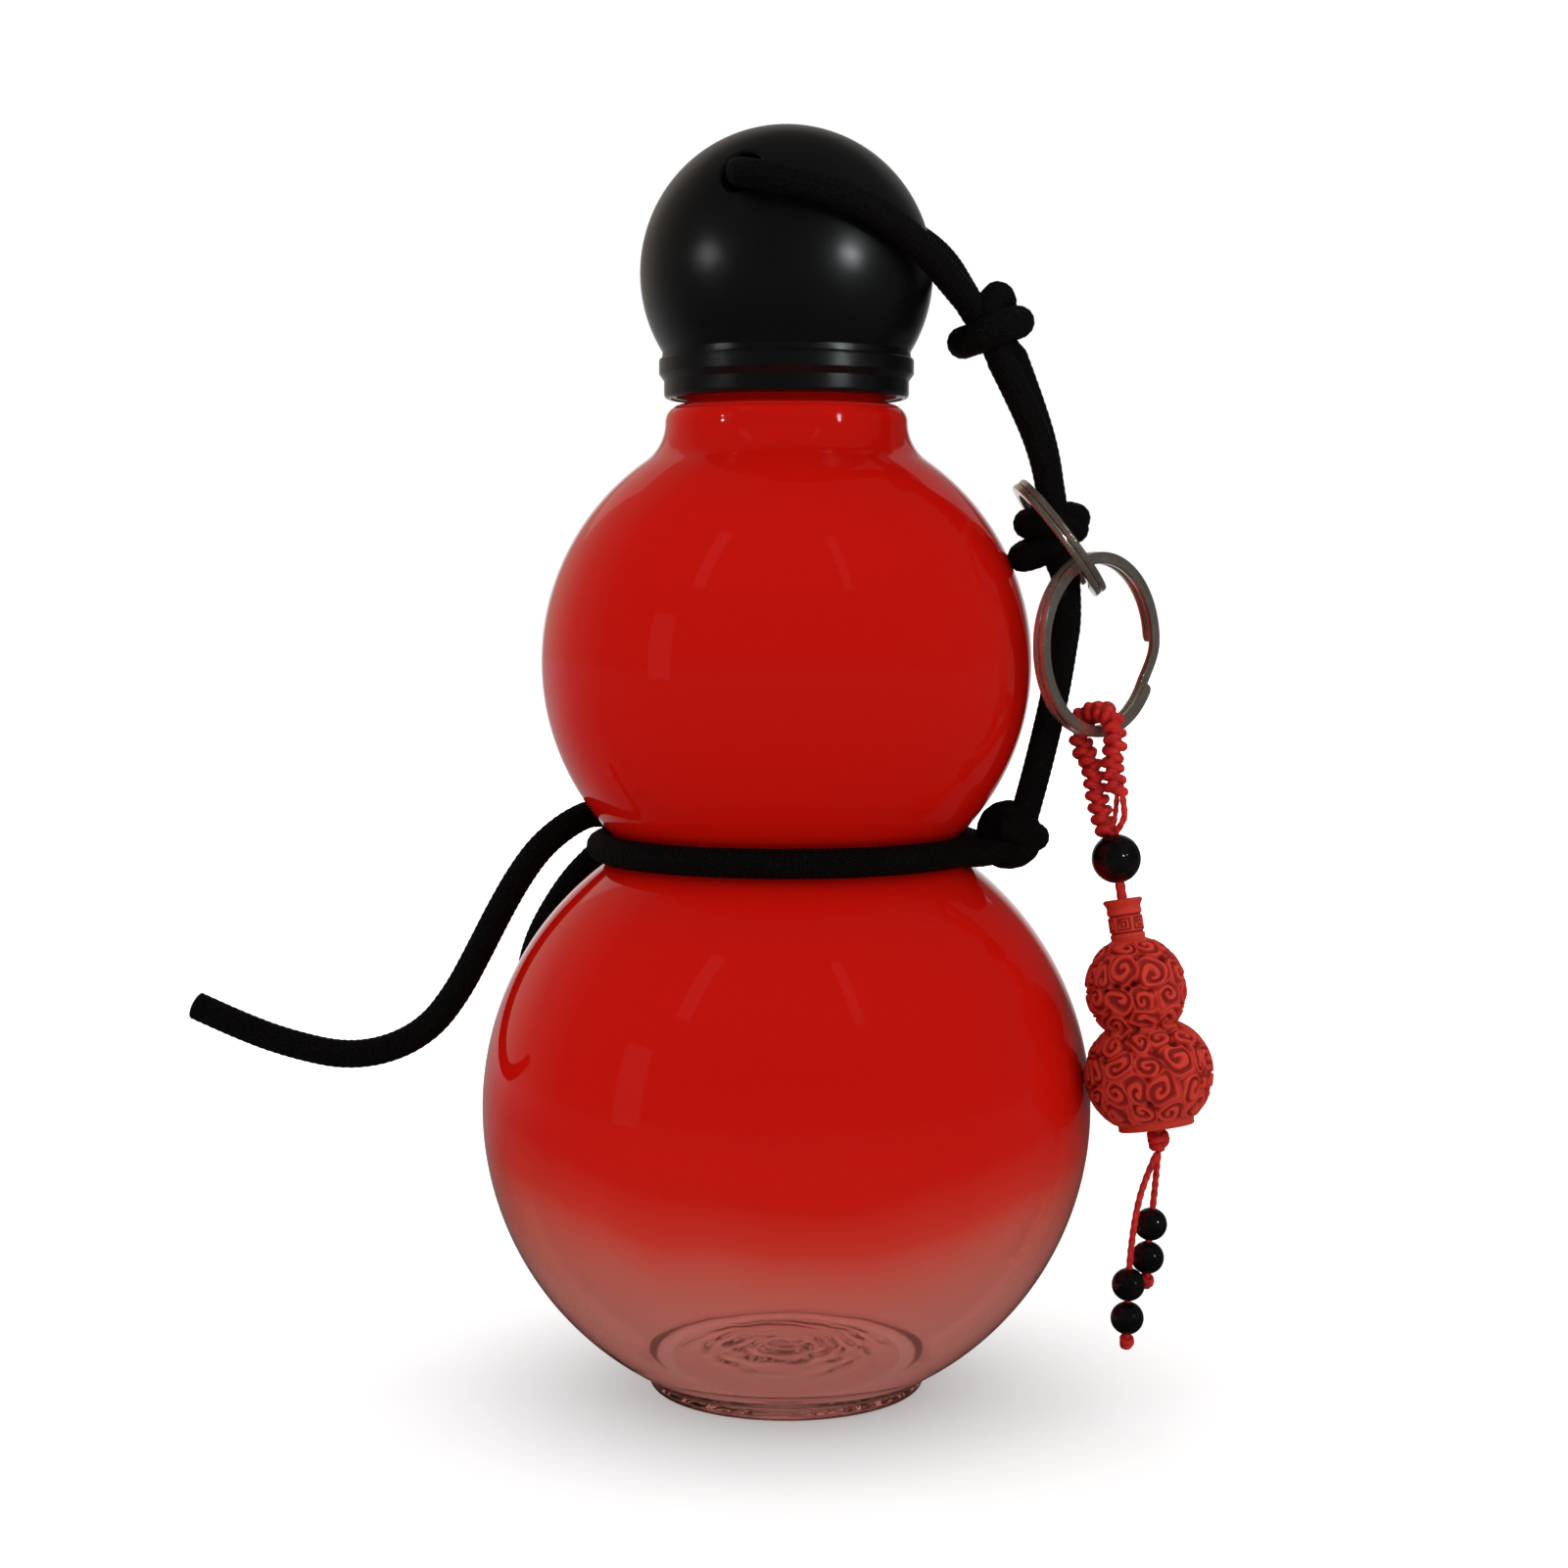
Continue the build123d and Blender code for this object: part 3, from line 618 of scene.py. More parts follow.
def lathe(name, outline, steps, body, materials, lift):
    """A body of revolution about Z, from an outline of radius, height and material index."""
    vertices = []
    for radius, height, material in outline:
        for step in range(steps):
            turn = 2 * pi * step / steps
            raised = height + lift(radius, height, turn, material)
            vertices.append((radius * cos(turn), radius * sin(turn), raised))
    made = new_piece(name, vertices, grid_faces(len(outline), steps), body, materials[0])
    for extra in materials[1:]:
        made.data.materials.append(extra)
    for face in made.data.polygons:
        face.material_index = outline[face.index // steps][2]
    return made


def arc_points(centre, start, end, count):
    """Points on the shorter arc about a centre, after its start."""
    a = atan2(start[1] - centre[1], start[0] - centre[0])
    b = atan2(end[1] - centre[1], end[0] - centre[0])
    if b - a > pi:
        b -= 2 * pi
    if a - b > pi:
        b += 2 * pi
    radius = hypot(start[0] - centre[0], start[1] - centre[1])
    turns = [a + (b - a) * step / count for step in range(1, count + 1)]
    return [(centre[0] + radius * cos(turn), centre[1] + radius * sin(turn)) for turn in turns]


def line_points(start, end, count):
    """Points on a straight line, after its start."""
    shares = [step / count for step in range(1, count + 1)]
    return [tuple(a + (b - a) * share for a, b in zip(start, end)) for share in shares]


def trace(start, *legs):
    """Outline of legs, each its end and count of points, and its centre where it is an arc."""
    line = [start]
    for end, count, *centre in legs:
        line += arc_points(*centre, line[-1], end, count) if centre else line_points(line[-1], end, count)
    return line


def between(centre, other, radius):
    """Point at a radius from one centre, on the way to another."""
    share = radius / hypot(other[0] - centre[0], other[1] - centre[1])
    return (centre[0] + (other[0] - centre[0]) * share, centre[1] + (other[1] - centre[1]) * share)


# Camera


def make_camera():
    """The camera of the photograph."""
    data = bpy.data.cameras.new("camera")
    data.sensor_width = camera_sensor
    data.lens = photo_focal / photo_side * camera_sensor
    data.clip_start, data.clip_end = camera_clips
    made = bpy.data.objects.new("camera", data)
    bpy.context.scene.collection.objects.link(made)
    made.location = camera_place
    made.rotation_euler = (radians(90 - camera_pitch), 0, 0)
    bpy.context.scene.camera = made


make_camera()


# Cord


weave_step = 0.0003
cord_sides = 56
cord_core_radius = cord_diameter / 2 - weave_relief


def in_metres(points):
    """Points given in millimetres, in metres."""
    return [(x / 1000, y / 1000, z / 1000) for x, y, z in points]


def cord_line(route):
    """Even points along a cord's smooth route."""
    return even_line(smooth_line(route), weave_step)


def make_cord(name, route, body, blend_to=None):
    """A braided stretch of the carrying cord in place of its plain solid."""
    line = cord_line(route)
    shape = tube_mesh(line, cord_core_radius, cord_sides, weave_height)
    made = tube_piece(f"{name}_braid", shape, None if blend_to else body, cord_weave)
    if blend_to:
        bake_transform(made)
    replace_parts(made, name)


def waist_route(start_turn, end_turn, count):
    """Route of a part of the loop round the waist."""
    points = []
    for step in range(count + 1):
        turn = radians(start_turn + (end_turn - start_turn) * step / count)
        points.append((waist_loop_radius * cos(turn), waist_loop_radius * sin(turn), waist_height))
    return points


cord_routes = {name: in_metres(points) for name, points in route_points.items()}
for name in ("long_tail", "short_tail"):
    make_cord(name, cord_routes[name], "harness")
for name, body, blend_to in (
    ("cap_strand", "cap", None), ("upper_strand", "tether", "cap"), ("lower_strand", "harness", "tether"),
):
    for side in ("front", "back"):
        make_cord(f"{name}_{side}", cord_routes[f"{name}_{side}"], body, blend_to=blend_to)
for side, end_turn, count in (("front", tie_knot_turn - 360, 24), ("back", tie_knot_turn, 18)):
    half = waist_route(waist_knot_turn, end_turn, count)
    make_cord(f"waist_loop_{side}", half, "harness")

bore_ends = [cord_routes[f"cap_strand_{side}"][0] for side in ("front", "back")]
bore_line = cord_line([bore_ends[0], (0, 0, bore_ends[0][2]), bore_ends[1]])
bore_shape = tube_mesh(bore_line, cord_core_radius, cord_sides, weave_height)
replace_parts(tube_piece("cap_bore_cord_braid", bore_shape, "cap", cord_weave), "cap_bore_cord")

# Knots, in millimetres: the strands that lead through each one, and the turns tied round them

knot_strands = {
    "cap_knot": [
        [
            (29.8, -8.9, 189.2), (32.0, -7.2, 186.0), (34.0, -6.4, 183.2), (35.5, -6.8, 180.6),
            (36.6, -7.2, 177.8),
        ],
        [
            (31.6, -0.6, 188.2), (33.2, -2.4, 185.4), (35.4, -2.9, 182.9), (37.4, -2.3, 180.8),
            (39.0, -1.8, 179.1),
        ],
        [
            (33.0, -6.4, 182.9), (33.9, -8.2, 186.3), (35.6, -6.2, 189.9), (37.3, -2.6, 188.3),
            (36.2, -0.9, 183.8),
        ],
    ],
    "ring_knot": [
        [
            (45.4, -8.9, 152.6), (45.3, -8.2, 149.6), (45.4, -7.3, 147.0), (46.3, -7.9, 144.6),
            (47.3, -8.8, 142.2),
        ],
        [
            (45.8, -3.5, 152.6), (45.4, -4.2, 149.6), (45.6, -4.7, 147.0), (46.8, -4.2, 144.6),
            (47.8, -3.5, 142.2),
        ],
        [
            (46.8, -8.2, 147.6), (44.2, -9.7, 146.3), (41.2, -8.6, 145.2), (39.8, -5.8, 145.0),
            (41.3, -2.9, 145.9), (44.4, -2.3, 147.0), (46.8, -3.6, 147.8),
        ],
        [
            (44.6, -3.4, 150.6), (47.4, -2.6, 152.2), (49.0, -4.0, 152.0), (49.4, -6.2, 151.7),
            (49.0, -8.2, 151.9), (47.2, -9.4, 152.2), (44.6, -8.8, 150.8),
        ],
    ],
    "waist_knot": [
        [(29.6, -13.3, 95.3), (33.0, -10.2, 94.7), (36.4, -7.6, 95.3), (39.6, -5.6, 97.6)],
        [(31.9, 5.6, 95.3), (34.0, 1.6, 95.0), (36.9, -1.6, 95.6), (39.8, -3.4, 97.4)],
        [(40.2, -6.8, 100.2), (40.0, -6.5, 98.4), (39.0, -6.0, 96.4), (37.4, -6.6, 95.4)],
        [(40.9, -1.5, 100.2), (40.6, -1.6, 98.4), (39.4, -2.6, 96.4), (37.6, -3.2, 95.6)],
        [
            (37.0, -8.6, 99.0), (39.9, -9.0, 98.6), (42.3, -7.6, 97.5), (43.1, -4.6, 97.0),
            (42.2, -1.6, 97.2), (39.2, -0.4, 97.8), (36.8, -1.6, 98.6),
        ],
    ],
    "tie_knot": [
        [(-21.6, 24.1, 95.3), (-25.6, 24.3, 96.0), (-28.6, 23.2, 97.0), (-30.4, 20.4, 98.4)],
        [(-27.8, 16.9, 95.3), (-28.9, 20.6, 95.9), (-29.3, 23.8, 96.4), (-30.6, 24.6, 95.2)],
    ],
}
knot_turns = {
    "cap_knot": [
        [
            (39.9, -4.5, 185.1), (38.0, -8.2, 184.7), (34.8, -10.2, 183.3), (31.4, -8.4, 181.7),
            (29.6, -4.5, 181.4), (31.4, -0.6, 182.2), (34.6, 1.1, 183.3), (37.9, -0.5, 184.6),
        ],
    ],
    "ring_knot": [
        [
            (49.4, -6.1, 149.9), (47.8, -9.2, 150.4), (45.0, -10.4, 150.8), (42.1, -9.1, 151.0),
            (40.8, -6.1, 150.9), (42.1, -3.0, 150.6), (45.0, -1.8, 150.2), (47.8, -3.1, 149.9),
        ],
    ],
    "waist_knot": [
        [
            (41.4, -7.4, 97.4), (40.4, -7.3, 100.2), (38.0, -6.4, 101.2), (35.8, -5.4, 100.0),
            (35.2, -5.2, 97.3), (36.0, -5.6, 94.8), (38.2, -6.4, 94.2), (40.6, -7.2, 95.0),
        ],
    ],
    "tie_knot": [
        [
            (-31.1, 21.6, 97.4), (-31.4, 24.4, 96.6), (-29.6, 26.6, 95.8), (-26.9, 26.3, 95.8),
            (-26.4, 23.6, 96.4), (-28.3, 21.3, 97.2),
        ],
        [
            (-26.9, 25.6, 96.5), (-27.7, 25.0, 98.8), (-30.1, 22.9, 98.8), (-31.0, 22.1, 96.4),
            (-30.2, 22.8, 94.2), (-27.8, 25.0, 94.2),
        ],
    ],
}
knots = {
    "cap_knot": ("cap", 1.12), "ring_knot": ("tether", 1.03), "waist_knot": ("harness", 1.1),
    "tie_knot": ("harness", 1.05),
}


def make_cord_knot(name, body, swell):
    """A knot of the cord in place of its plain solid, its turns a little thicker than the cord."""
    tubes = []
    for points in knot_strands[name]:
        tubes.append(tube_mesh(cord_line(in_metres(points)), cord_core_radius, cord_sides, weave_height))
    for points in knot_turns[name]:
        line = even_line(smooth_line(in_metres(points), closed=True), weave_step, closed=True)
        tubes.append(tube_mesh(line, cord_core_radius * swell, cord_sides, weave_height, closed=True))
    made = tube_piece(f"{name}_strands", join_meshes(*tubes), body, cord_weave)
    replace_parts(made, name)


for name, facts in knots.items():
    make_cord_knot(name, *facts)


# Split rings


def make_coil(name, centre, normal, first_way, diameter, width, thickness, end_turn, body):
    """A ring coiled from two flat turns of wire, with a step where one turn passes into the other."""
    centre, normal, first_way = Vector(centre), Vector(normal), Vector(first_way)
    second_way = normal.cross(first_way)
    middle = diameter / 2 - width / 2
    vertices, sections = [], []
    steps = round((720 - 2 * coil_step_turn) / coil_fineness)
    for index in range(steps + 1):
        turn = coil_step_turn + index * (720 - 2 * coil_step_turn) / steps
        share = max(-1.0, min(1.0, (turn - 360) / coil_step_turn))
        lift = thickness / 2 * coil_spread * share * (3 - share * share) / 2
        angle = radians(turn + end_turn)
        out = first_way * cos(angle) + second_way * sin(angle)
        shrink = end_shrink(min(index, steps - index))
        for corner in range(coil_corners):
            place = 2 * pi * corner / coil_corners
            across = squared(cos(place)) * width / 2 * shrink
            axial = squared(sin(place)) * thickness / 2 * shrink
            vertices.append(centre + out * (middle + across) + normal * (lift + axial))
        sections.append(index)
    faces = [face[::-1] for face in grid_faces(len(sections), coil_corners)]
    last = len(vertices) - coil_corners
    faces.append(tuple(range(coil_corners)))
    faces.append(tuple(range(last, last + coil_corners))[::-1])
    made = new_piece(f"{name}_coil", vertices, faces, body, ring_metal)
    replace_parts(made, name)


def squared(share):
    """A sine or cosine drawn out towards the corners of a square."""
    return abs(share) ** coil_squareness * (1 if share > 0 else -1)


def end_shrink(rows):
    """How far the wire's end is rounded off, by rows from the end."""
    return coil_end_shares[rows] if rows < len(coil_end_shares) else 1.0


coil_step_turn = 15.0
coil_fineness = 1.5
coil_corners = 20
coil_squareness = 0.38
coil_spread = 1.03
coil_end_shares = (0.62, 0.86, 0.96)

link_normal = (cos(radians(link_tilt)), 0, sin(radians(link_tilt)))
link_first_way = (sin(radians(link_tilt)), 0, -cos(radians(link_tilt)))
make_coil(
    "link_ring", link_centre, link_normal, link_first_way, link_diameter, link_width, link_turn_thickness,
    link_end_turn, "small_split_ring",
)
make_coil(
    "key_ring", key_centre, key_out, key_across, key_diameter, key_width, key_turn_thickness, key_end_turn,
    "large_split_ring",
)


# Charm

charm_up = charm_down * -1
charm_side = charm_up.cross(key_across * -1).normalized()
braid_radius = 0.0021
braid_gap = 0.0003
braid_fold = hypot(key_width, key_turn_thickness * 2) / 2 + braid_gap + braid_radius
braid_core_share = 0.55
braid_core_sides = 12
braid_bulge_share = 0.85
braid_pitch = 0.00102
braid_thread_radius = 0.00082
braid_tilt = 0.00045
braid_column_offset = 0.0004
braid_depth_share = 1.3
braid_loop_steps = 20
braid_unevenness = 0.12
braid_noise = 900
braid_ply_relief = 0.00004
braid_ply_pitch = 0.0007
braid_plies = 3
loop_sides = 14

# Places across the charm and up from the hook, in millimetres
braid_route = [
    (-1.0, -17.0), (-2.0, -13.5), (-2.1, -9.0), (-2.1, -4.9), (-3.75, -2.9), (-3.75, 3.3), (3.75, 3.3),
    (3.75, -2.9), (2.1, -4.9), (2.1, -8.2), (2.1, -10.5),
]


def on_side(across, up):
    """Point of the plane that holds the charm's axis and lies across the key ring."""
    return hook + charm_side * across + charm_up * up


def make_braid():
    """The knotted band: turns of thread tied in a row round its core, leaning left and right in turn."""
    route = [on_side(across / 1000, up / 1000) for across, up in braid_route]
    line = even_line(smooth_line(route), braid_pitch)
    tubes = [tube_mesh(line, braid_radius * braid_core_share, braid_core_sides)]
    across_view = Vector((1, 0, 0))
    for index, (point, (tangent, _, _)) in enumerate(zip(line, line_frames(line))):
        column = (across_view - tangent * tangent.dot(across_view)).normalized()
        depth = tangent.cross(column)
        hand = 1 if index % 2 else -1
        centre = point + column * hand * braid_column_offset
        reach = braid_radius - braid_column_offset - braid_thread_radius
        reach *= 1 + braid_unevenness * noise(point * braid_noise)
        loop = []
        for step in range(braid_loop_steps):
            turn = 2 * pi * step / braid_loop_steps
            across = column * reach * cos(turn) + depth * reach * braid_depth_share * sin(turn)
            loop.append(centre + across + tangent * braid_tilt * hand * cos(turn))
        tubes.append(tube_mesh(loop, braid_thread_radius, loop_sides, braid_ply_height, closed=True))
    made = tube_piece("charm_braid_knots", join_meshes(*tubes), "charm", red_thread)
    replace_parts(made, "charm_braid")


def braid_ply_height(along, around):
    """Relief of the fine twist of the band's thread."""
    return braid_ply_relief * cos(2 * pi * (braid_plies * around + along / braid_ply_pitch))


ply_relief = 0.00005
ply_pitch = 0.0016
thread_step = 0.0002
thread_sides = 20


def make_thread(name, route, radius, body, node=None):
    """A twisted thread along a route, and its line."""
    line = even_line(smooth_line(route), thread_step)
    shape = tube_mesh(line, radius - ply_relief, thread_sides, ply_height)
    made = tube_piece(name, shape, body, red_thread)
    if node:
        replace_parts(made, node)
    return made, line


def ring_loop(centre, normal, radius):
    """Points on a circle."""
    first = normal.orthogonal().normalized()
    second = normal.cross(first)
    turns = [2 * pi * step / ring_loop_steps for step in range(ring_loop_steps)]
    return [centre + first * radius * cos(turn) + second * radius * sin(turn) for turn in turns]


ring_loop_steps = 28
knot_leans = (-0.6, 0.0, 0.6)
knot_spread = 0.8
knot_core_share = 1.1


def make_thread_knot(name, centre, way, radius, thread_radius, body, node):
    """A small knot of thread: three turns that cross one another."""
    way = way.normalized()
    side = way.orthogonal().normalized()
    tubes = []
    for index, lean in enumerate(knot_leans):
        spin = Matrix.Rotation(2 * pi * index / len(knot_leans), 3, way)
        normal = (way + (spin @ side) * lean).normalized()
        middle = centre + way * thread_radius * (index - 1) * knot_spread
        loop = ring_loop(middle, normal, radius - thread_radius)
        tubes.append(tube_mesh(loop, thread_radius, loop_sides, braid_ply_height, closed=True))
    core = even_line([centre - way * radius, centre + way * radius], thread_step)
    tubes.append(tube_mesh(core, thread_radius * knot_core_share, loop_sides))
    made = tube_piece(name, join_meshes(*tubes), body, red_thread)
    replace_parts(made, node)


make_braid()
bulge = braid_fold * braid_bulge_share
half_way = -(braid_short_drop + braid_drop) / 2
thread_inset = 0.0008
side_thread_shares = (0.75, 0.93)
inner_thread_shares = (0.42, 0.97)
inner_thread_end = 0.0004
inner_thread_share = 0.42
middle_thread_lead = 0.001
short_end = on_side(bulge, -braid_short_drop)
side_route = [
    short_end + charm_up * thread_inset, on_side(bulge, half_way),
    on_side(braid_fold * side_thread_shares[0], -braid_drop * side_thread_shares[1]),
    on_side(thread_diameter / 4, -braid_drop - thread_inset),
]
inner_route = [
    short_end + (charm_up - charm_side) * thread_inset,
    on_side(braid_fold * inner_thread_shares[0], half_way),
    on_side(inner_thread_end, -braid_drop * inner_thread_shares[1]),
]
pendant_end = pendant_drop + pendant_height
middle_route = [
    on_charm(braid_drop - middle_thread_lead), on_charm(bead_drop),
    on_charm(pendant_end + stop_knot_radius / 2),
]
for name, route, radius, node in (
    ("charm_side_thread_twist", side_route, string_diameter / 2, "charm_side_thread"),
    ("charm_inner_thread", inner_route, string_diameter * inner_thread_share, None),
    ("charm_thread_twist", middle_route, thread_diameter / 2, "charm_thread"),
):
    make_thread(name, route, radius, "charm", node)
make_thread_knot(
    "pendant_stop_knot_turns", on_charm(pendant_end + stop_knot_radius), charm_up, stop_knot_radius,
    stop_knot_thread, "charm", "pendant_stop_knot",
)

strings = {"long_string": "long_bead_string", "short_string": "short_bead_string"}
for name, body in strings.items():
    route = cord_routes[name]
    piece, line = make_thread(f"{name}_twist", route, string_diameter / 2, body, name)
for name, body in strings.items():
    end, before = (Vector(point) for point in cord_routes[name][:-3:-1])
    knot = f"{name}_knot"
    make_thread_knot(f"{knot}_turns", end, before - end, string_knot_radius, string_knot_thread, body, knot)


# Pendant


def circle_through(first, second, third):
    """Centre of the circle through three points."""
    (ax, ay), (bx, by), (cx, cy) = first, second, third
    d = 2 * (ax * (by - cy) + bx * (cy - ay) + cx * (ay - by))
    a, b, c = ax * ax + ay * ay, bx * bx + by * by, cx * cx + cy * cy
    across = a * (by - cy) + b * (cy - ay) + c * (ay - by)
    up = a * (cx - bx) + b * (ax - cx) + c * (bx - ax)
    return (across / d, up / d)


def pendant_outline():
    """Outside of the pendant, from the bore at its lip down to the bore at its foot."""
    neck, shoulder = (pendant_neck, -neck_end), (pendant_upper, -upper_drop)
    waist, belly = (pendant_waist, -waist_drop), (pendant_lower, -lower_drop)
    foot = (pendant_foot, foot_rise - pendant_height)
    upper = circle_through(neck, shoulder, waist)
    line = [(pendant_bore, -lip_round)] + trace(
        (pendant_bore, 0.0),
        ((pendant_lip - lip_edge, 0.0), 8),
        ((pendant_lip, -lip_round), 3),
        ((pendant_neck, -lip_height), 8),
        (neck, 44),
        (shoulder, 80, upper),
        (waist, 60, upper),
        (belly, 85, tangent_centre(belly, waist)),
        (foot, 80, tangent_centre(belly, foot)),
        ((pendant_foot, foot_edge - pendant_height), 8),
        ((pendant_foot - lip_edge, -pendant_height), 3),
        ((pendant_bore, -pendant_height), 10),
    )
    return line


def tangent_centre(belly, other):
    """Centre, level with the belly, of the arc from it to another point."""
    rise = other[1] - belly[1]
    return ((belly[0] ** 2 - other[0] ** 2 - rise**2) / (2 * (belly[0] - other[0])), belly[1])


pendant_bore = 0.00105
pendant_lip = 0.0034
lip_round = 0.0004
lip_edge = 0.0003
lip_height = 0.0013
pendant_neck = 0.0029
neck_end = 0.00691
pendant_upper = 0.0085
upper_drop = 0.0149
pendant_waist = 0.0060
waist_drop = 0.0217
pendant_lower = 0.0108
lower_drop = 0.0296
pendant_foot = 0.0064
foot_rise = 0.0011
foot_edge = 0.0002
pendant_steps = 480
# Painted shade level of the plain, uncarved surface
plain_painted_shade = 0.75

# Carving on the bulbs: each scroll winds about its centre, a vine runs where two cells meet, and a pit is
# sunk where three do
carve_depth = 0.00055
carve_margins = (0.0006, 0.0003)
carve_level = 0.75
# Painted shade of the carving on the bulbs: darker down in the cuts, paler up on the ridges
carve_painted_shades = (0.28, 0.6)
carve_warp = 0.0014
warp_noise = 260
warp_steps = (Vector((17, 0, 5)), Vector((0, 31, 11)))
scroll_rows = (
    (-0.0085, 0.0052), (-0.0125, 0.0081), (-0.0168, 0.0083), (-0.0205, 0.0066), (-0.0242, 0.0090),
    (-0.0282, 0.0107), (-0.0324, 0.0104), (-0.0360, 0.0082),
)
scroll_spacing = 0.0047
scroll_scatter = 0.24
scroll_lift = 0.0009
scroll_pitch = 0.00155
scroll_sharpness = (1.6, 0.25)
scroll_fade = (0.0007, 0.15)
vine_width = 0.0005
pit_depth = 0.0016
pit_width = 0.001
pit_noise = 240
pit_share = (0.55, 2.5)

# Key pattern round the neck: nested squares, by their outer edge as a share of half a unit
fret_units = 6
fret_drop = 0.0043
fret_half_height = 0.0013
fret_margins = (0.0006, 0.0004)
fret_depth = 0.00028
fret_level = 0.8
# Painted shade of the key pattern: darker in its grooves, paler on its raised squares
fret_painted_shades = (0.25, 0.6)
fret_low = 0.1
fret_band, fret_groove = 1.25, 1.0
fret_squares = (0.82, 0.6, 0.36, 0.16)
fret_opening = -0.2


def scroll_centres():
    """Centres of the scrolls on the two bulbs, with the way each one winds and its start."""
    chance = random.Random(7)
    centres = []
    for row, (height, radius) in enumerate(scroll_rows):
        count = round(2 * pi * radius / scroll_spacing)
        for index in range(count):
            shift = 0.5 * (row % 2) + chance.uniform(-scroll_scatter, scroll_scatter)
            turn = 2 * pi * (index + shift) / count
            level = height + chance.uniform(-scroll_lift, scroll_lift)
            centre = Vector((radius * cos(turn), radius * sin(turn), level))
            centres.append((centre, turn, chance.choice((-1, 1)), chance.uniform(0, 2 * pi)))
    return centres


def carve(point, centres):
    """Height of the carving and depth of the pit at a point."""
    warped = point * warp_noise
    shift = Vector((noise(warped), noise(warped + warp_steps[0]), noise(warped + warp_steps[1])))
    point = point + shift * carve_warp
    near = sorted(((point - centre[0]).length_squared, index) for index, centre in enumerate(centres))[:3]
    first, second, third = (sqrt(item[0]) for item in near)
    centre, centre_turn, hand, start = centres[near[0][1]]
    offset = point - centre
    east = -offset.x * sin(centre_turn) + offset.y * cos(centre_turn)
    angle = atan2(offset.z, east) * hand + start
    spiral = cos(2 * pi * (first / scroll_pitch - angle / (2 * pi)))
    scroll = 0.5 + 0.5 * max(-1.0, min(1.0, spiral * scroll_sharpness[0] + scroll_sharpness[1]))
    edge = exp(-((second - first) / vine_width) ** 2)
    pit = exp(-((third - first) / pit_width) ** 2)
    pit *= max(0.0, min(1.0, pit_share[0] + pit_share[1] * noise(point * pit_noise)))
    height = max(scroll * min(1.0, (second - first) / scroll_fade[0] + scroll_fade[1]), edge)
    return height, pit


def fret(turn, depth):
    """Height of the key pattern round the neck."""
    across = (turn * fret_units / (2 * pi) % 1 - 0.5) * 2
    up = (depth - fret_drop) / fret_half_height
    if abs(up) > fret_groove:
        return 1.0 if abs(up) > fret_band else fret_low
    outer, groove, inner, core = fret_squares
    ring = max(abs(across), abs(up))
    if inner < ring <= groove:
        return 1.0 if across > fret_opening or up > 0 else fret_low
    return 1.0 if ring > outer or ring <= core else fret_low


def make_pendant():
    """The carved gourd in place of its plain solid, with a painted shade from its relief kept for the
    colour: darker in the cuts and pits, paler on the ridges.
    """
    outline = pendant_outline()
    centres = scroll_centres()
    second_way = charm_up.cross(key_across)
    place = on_charm(pendant_drop)
    bulbs_start, bulbs_end = neck_end + carve_margins[0], pendant_height - foot_rise - carve_margins[1]
    neck_start, neck_stop = lip_height + fret_margins[0], neck_end - fret_margins[1]
    vertices, relief = [], []
    for index, (radius, height) in enumerate(outline):
        before = outline[max(0, index - 1)]
        after = outline[min(len(outline) - 1, index + 1)]
        slope = Vector((before[1] - after[1], after[0] - before[0]))
        out = slope.normalized() if slope.length else Vector((1, 0))
        depth = -height
        for step in range(pendant_steps):
            turn = 2 * pi * step / pendant_steps
            lift, shade = 0.0, plain_painted_shade
            if bulbs_start < depth < bulbs_end:
                point = Vector((radius * cos(turn), radius * sin(turn), height))
                carved, pit = carve(point, centres)
                lift = (carved - carve_level) * carve_depth - pit * pit_depth
                # Painted shade: the colour darkens from the ridges down into the cuts, to near black in the
                # pits
                shade = (carve_painted_shades[0] + carved * carve_painted_shades[1]) * (1 - pit)
            elif neck_start < depth < neck_stop:
                carved = fret(turn, depth)
                lift = (carved - fret_level) * fret_depth
                # Painted shade of the key pattern, darker in its grooves
                shade = fret_painted_shades[0] + carved * fret_painted_shades[1]
            reach = radius + lift * out.x
            vertices.append(
                place + charm_up * (height + lift * out.y)
                + (key_across * cos(turn) + second_way * sin(turn)) * reach
            )
            relief.append(shade)
    faces = [face[::-1] for face in grid_faces(len(outline), pendant_steps)]
    made = new_piece("gourd_pendant_carving", vertices, faces, "pendant", carved_red)
    # The relief attribute carries the painted shade of the carving, not a height
    layer = made.data.attributes.new("relief", "FLOAT", "POINT")
    layer.data.foreach_set("value", relief)
    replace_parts(made, "gourd_pendant")


make_pendant()

# Pieces of the CAD model that stay, with their materials
kept_nodes = {"cap_shell": satin_black, "cap_thread_insert": pale_liner, "cap_gasket": seal_rubber}
beads = ["charm_bead"] + [f"{string}_{place}_bead" for string in strings for place in ("upper", "lower")]
kept_nodes.update(dict.fromkeys(beads, black_bead))
for name, material in kept_nodes.items():
    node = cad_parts[name]
    node.data.materials.clear()
    node.data.materials.append(material)


# Glass


def blend_level(radius, reach):
    """Height on the upper bulb of the centre of the neck's blend, at a reach from the axis."""
    return upper_height + sqrt((radius + neck_blend) ** 2 - reach**2)


cord_gap = 0.00035
floor_corner_rise = 0.0012
glass_steps = 256
neck_level = blend_level(upper_radius, neck_radius + neck_blend)
collar_top = neck_level + shoulder_round


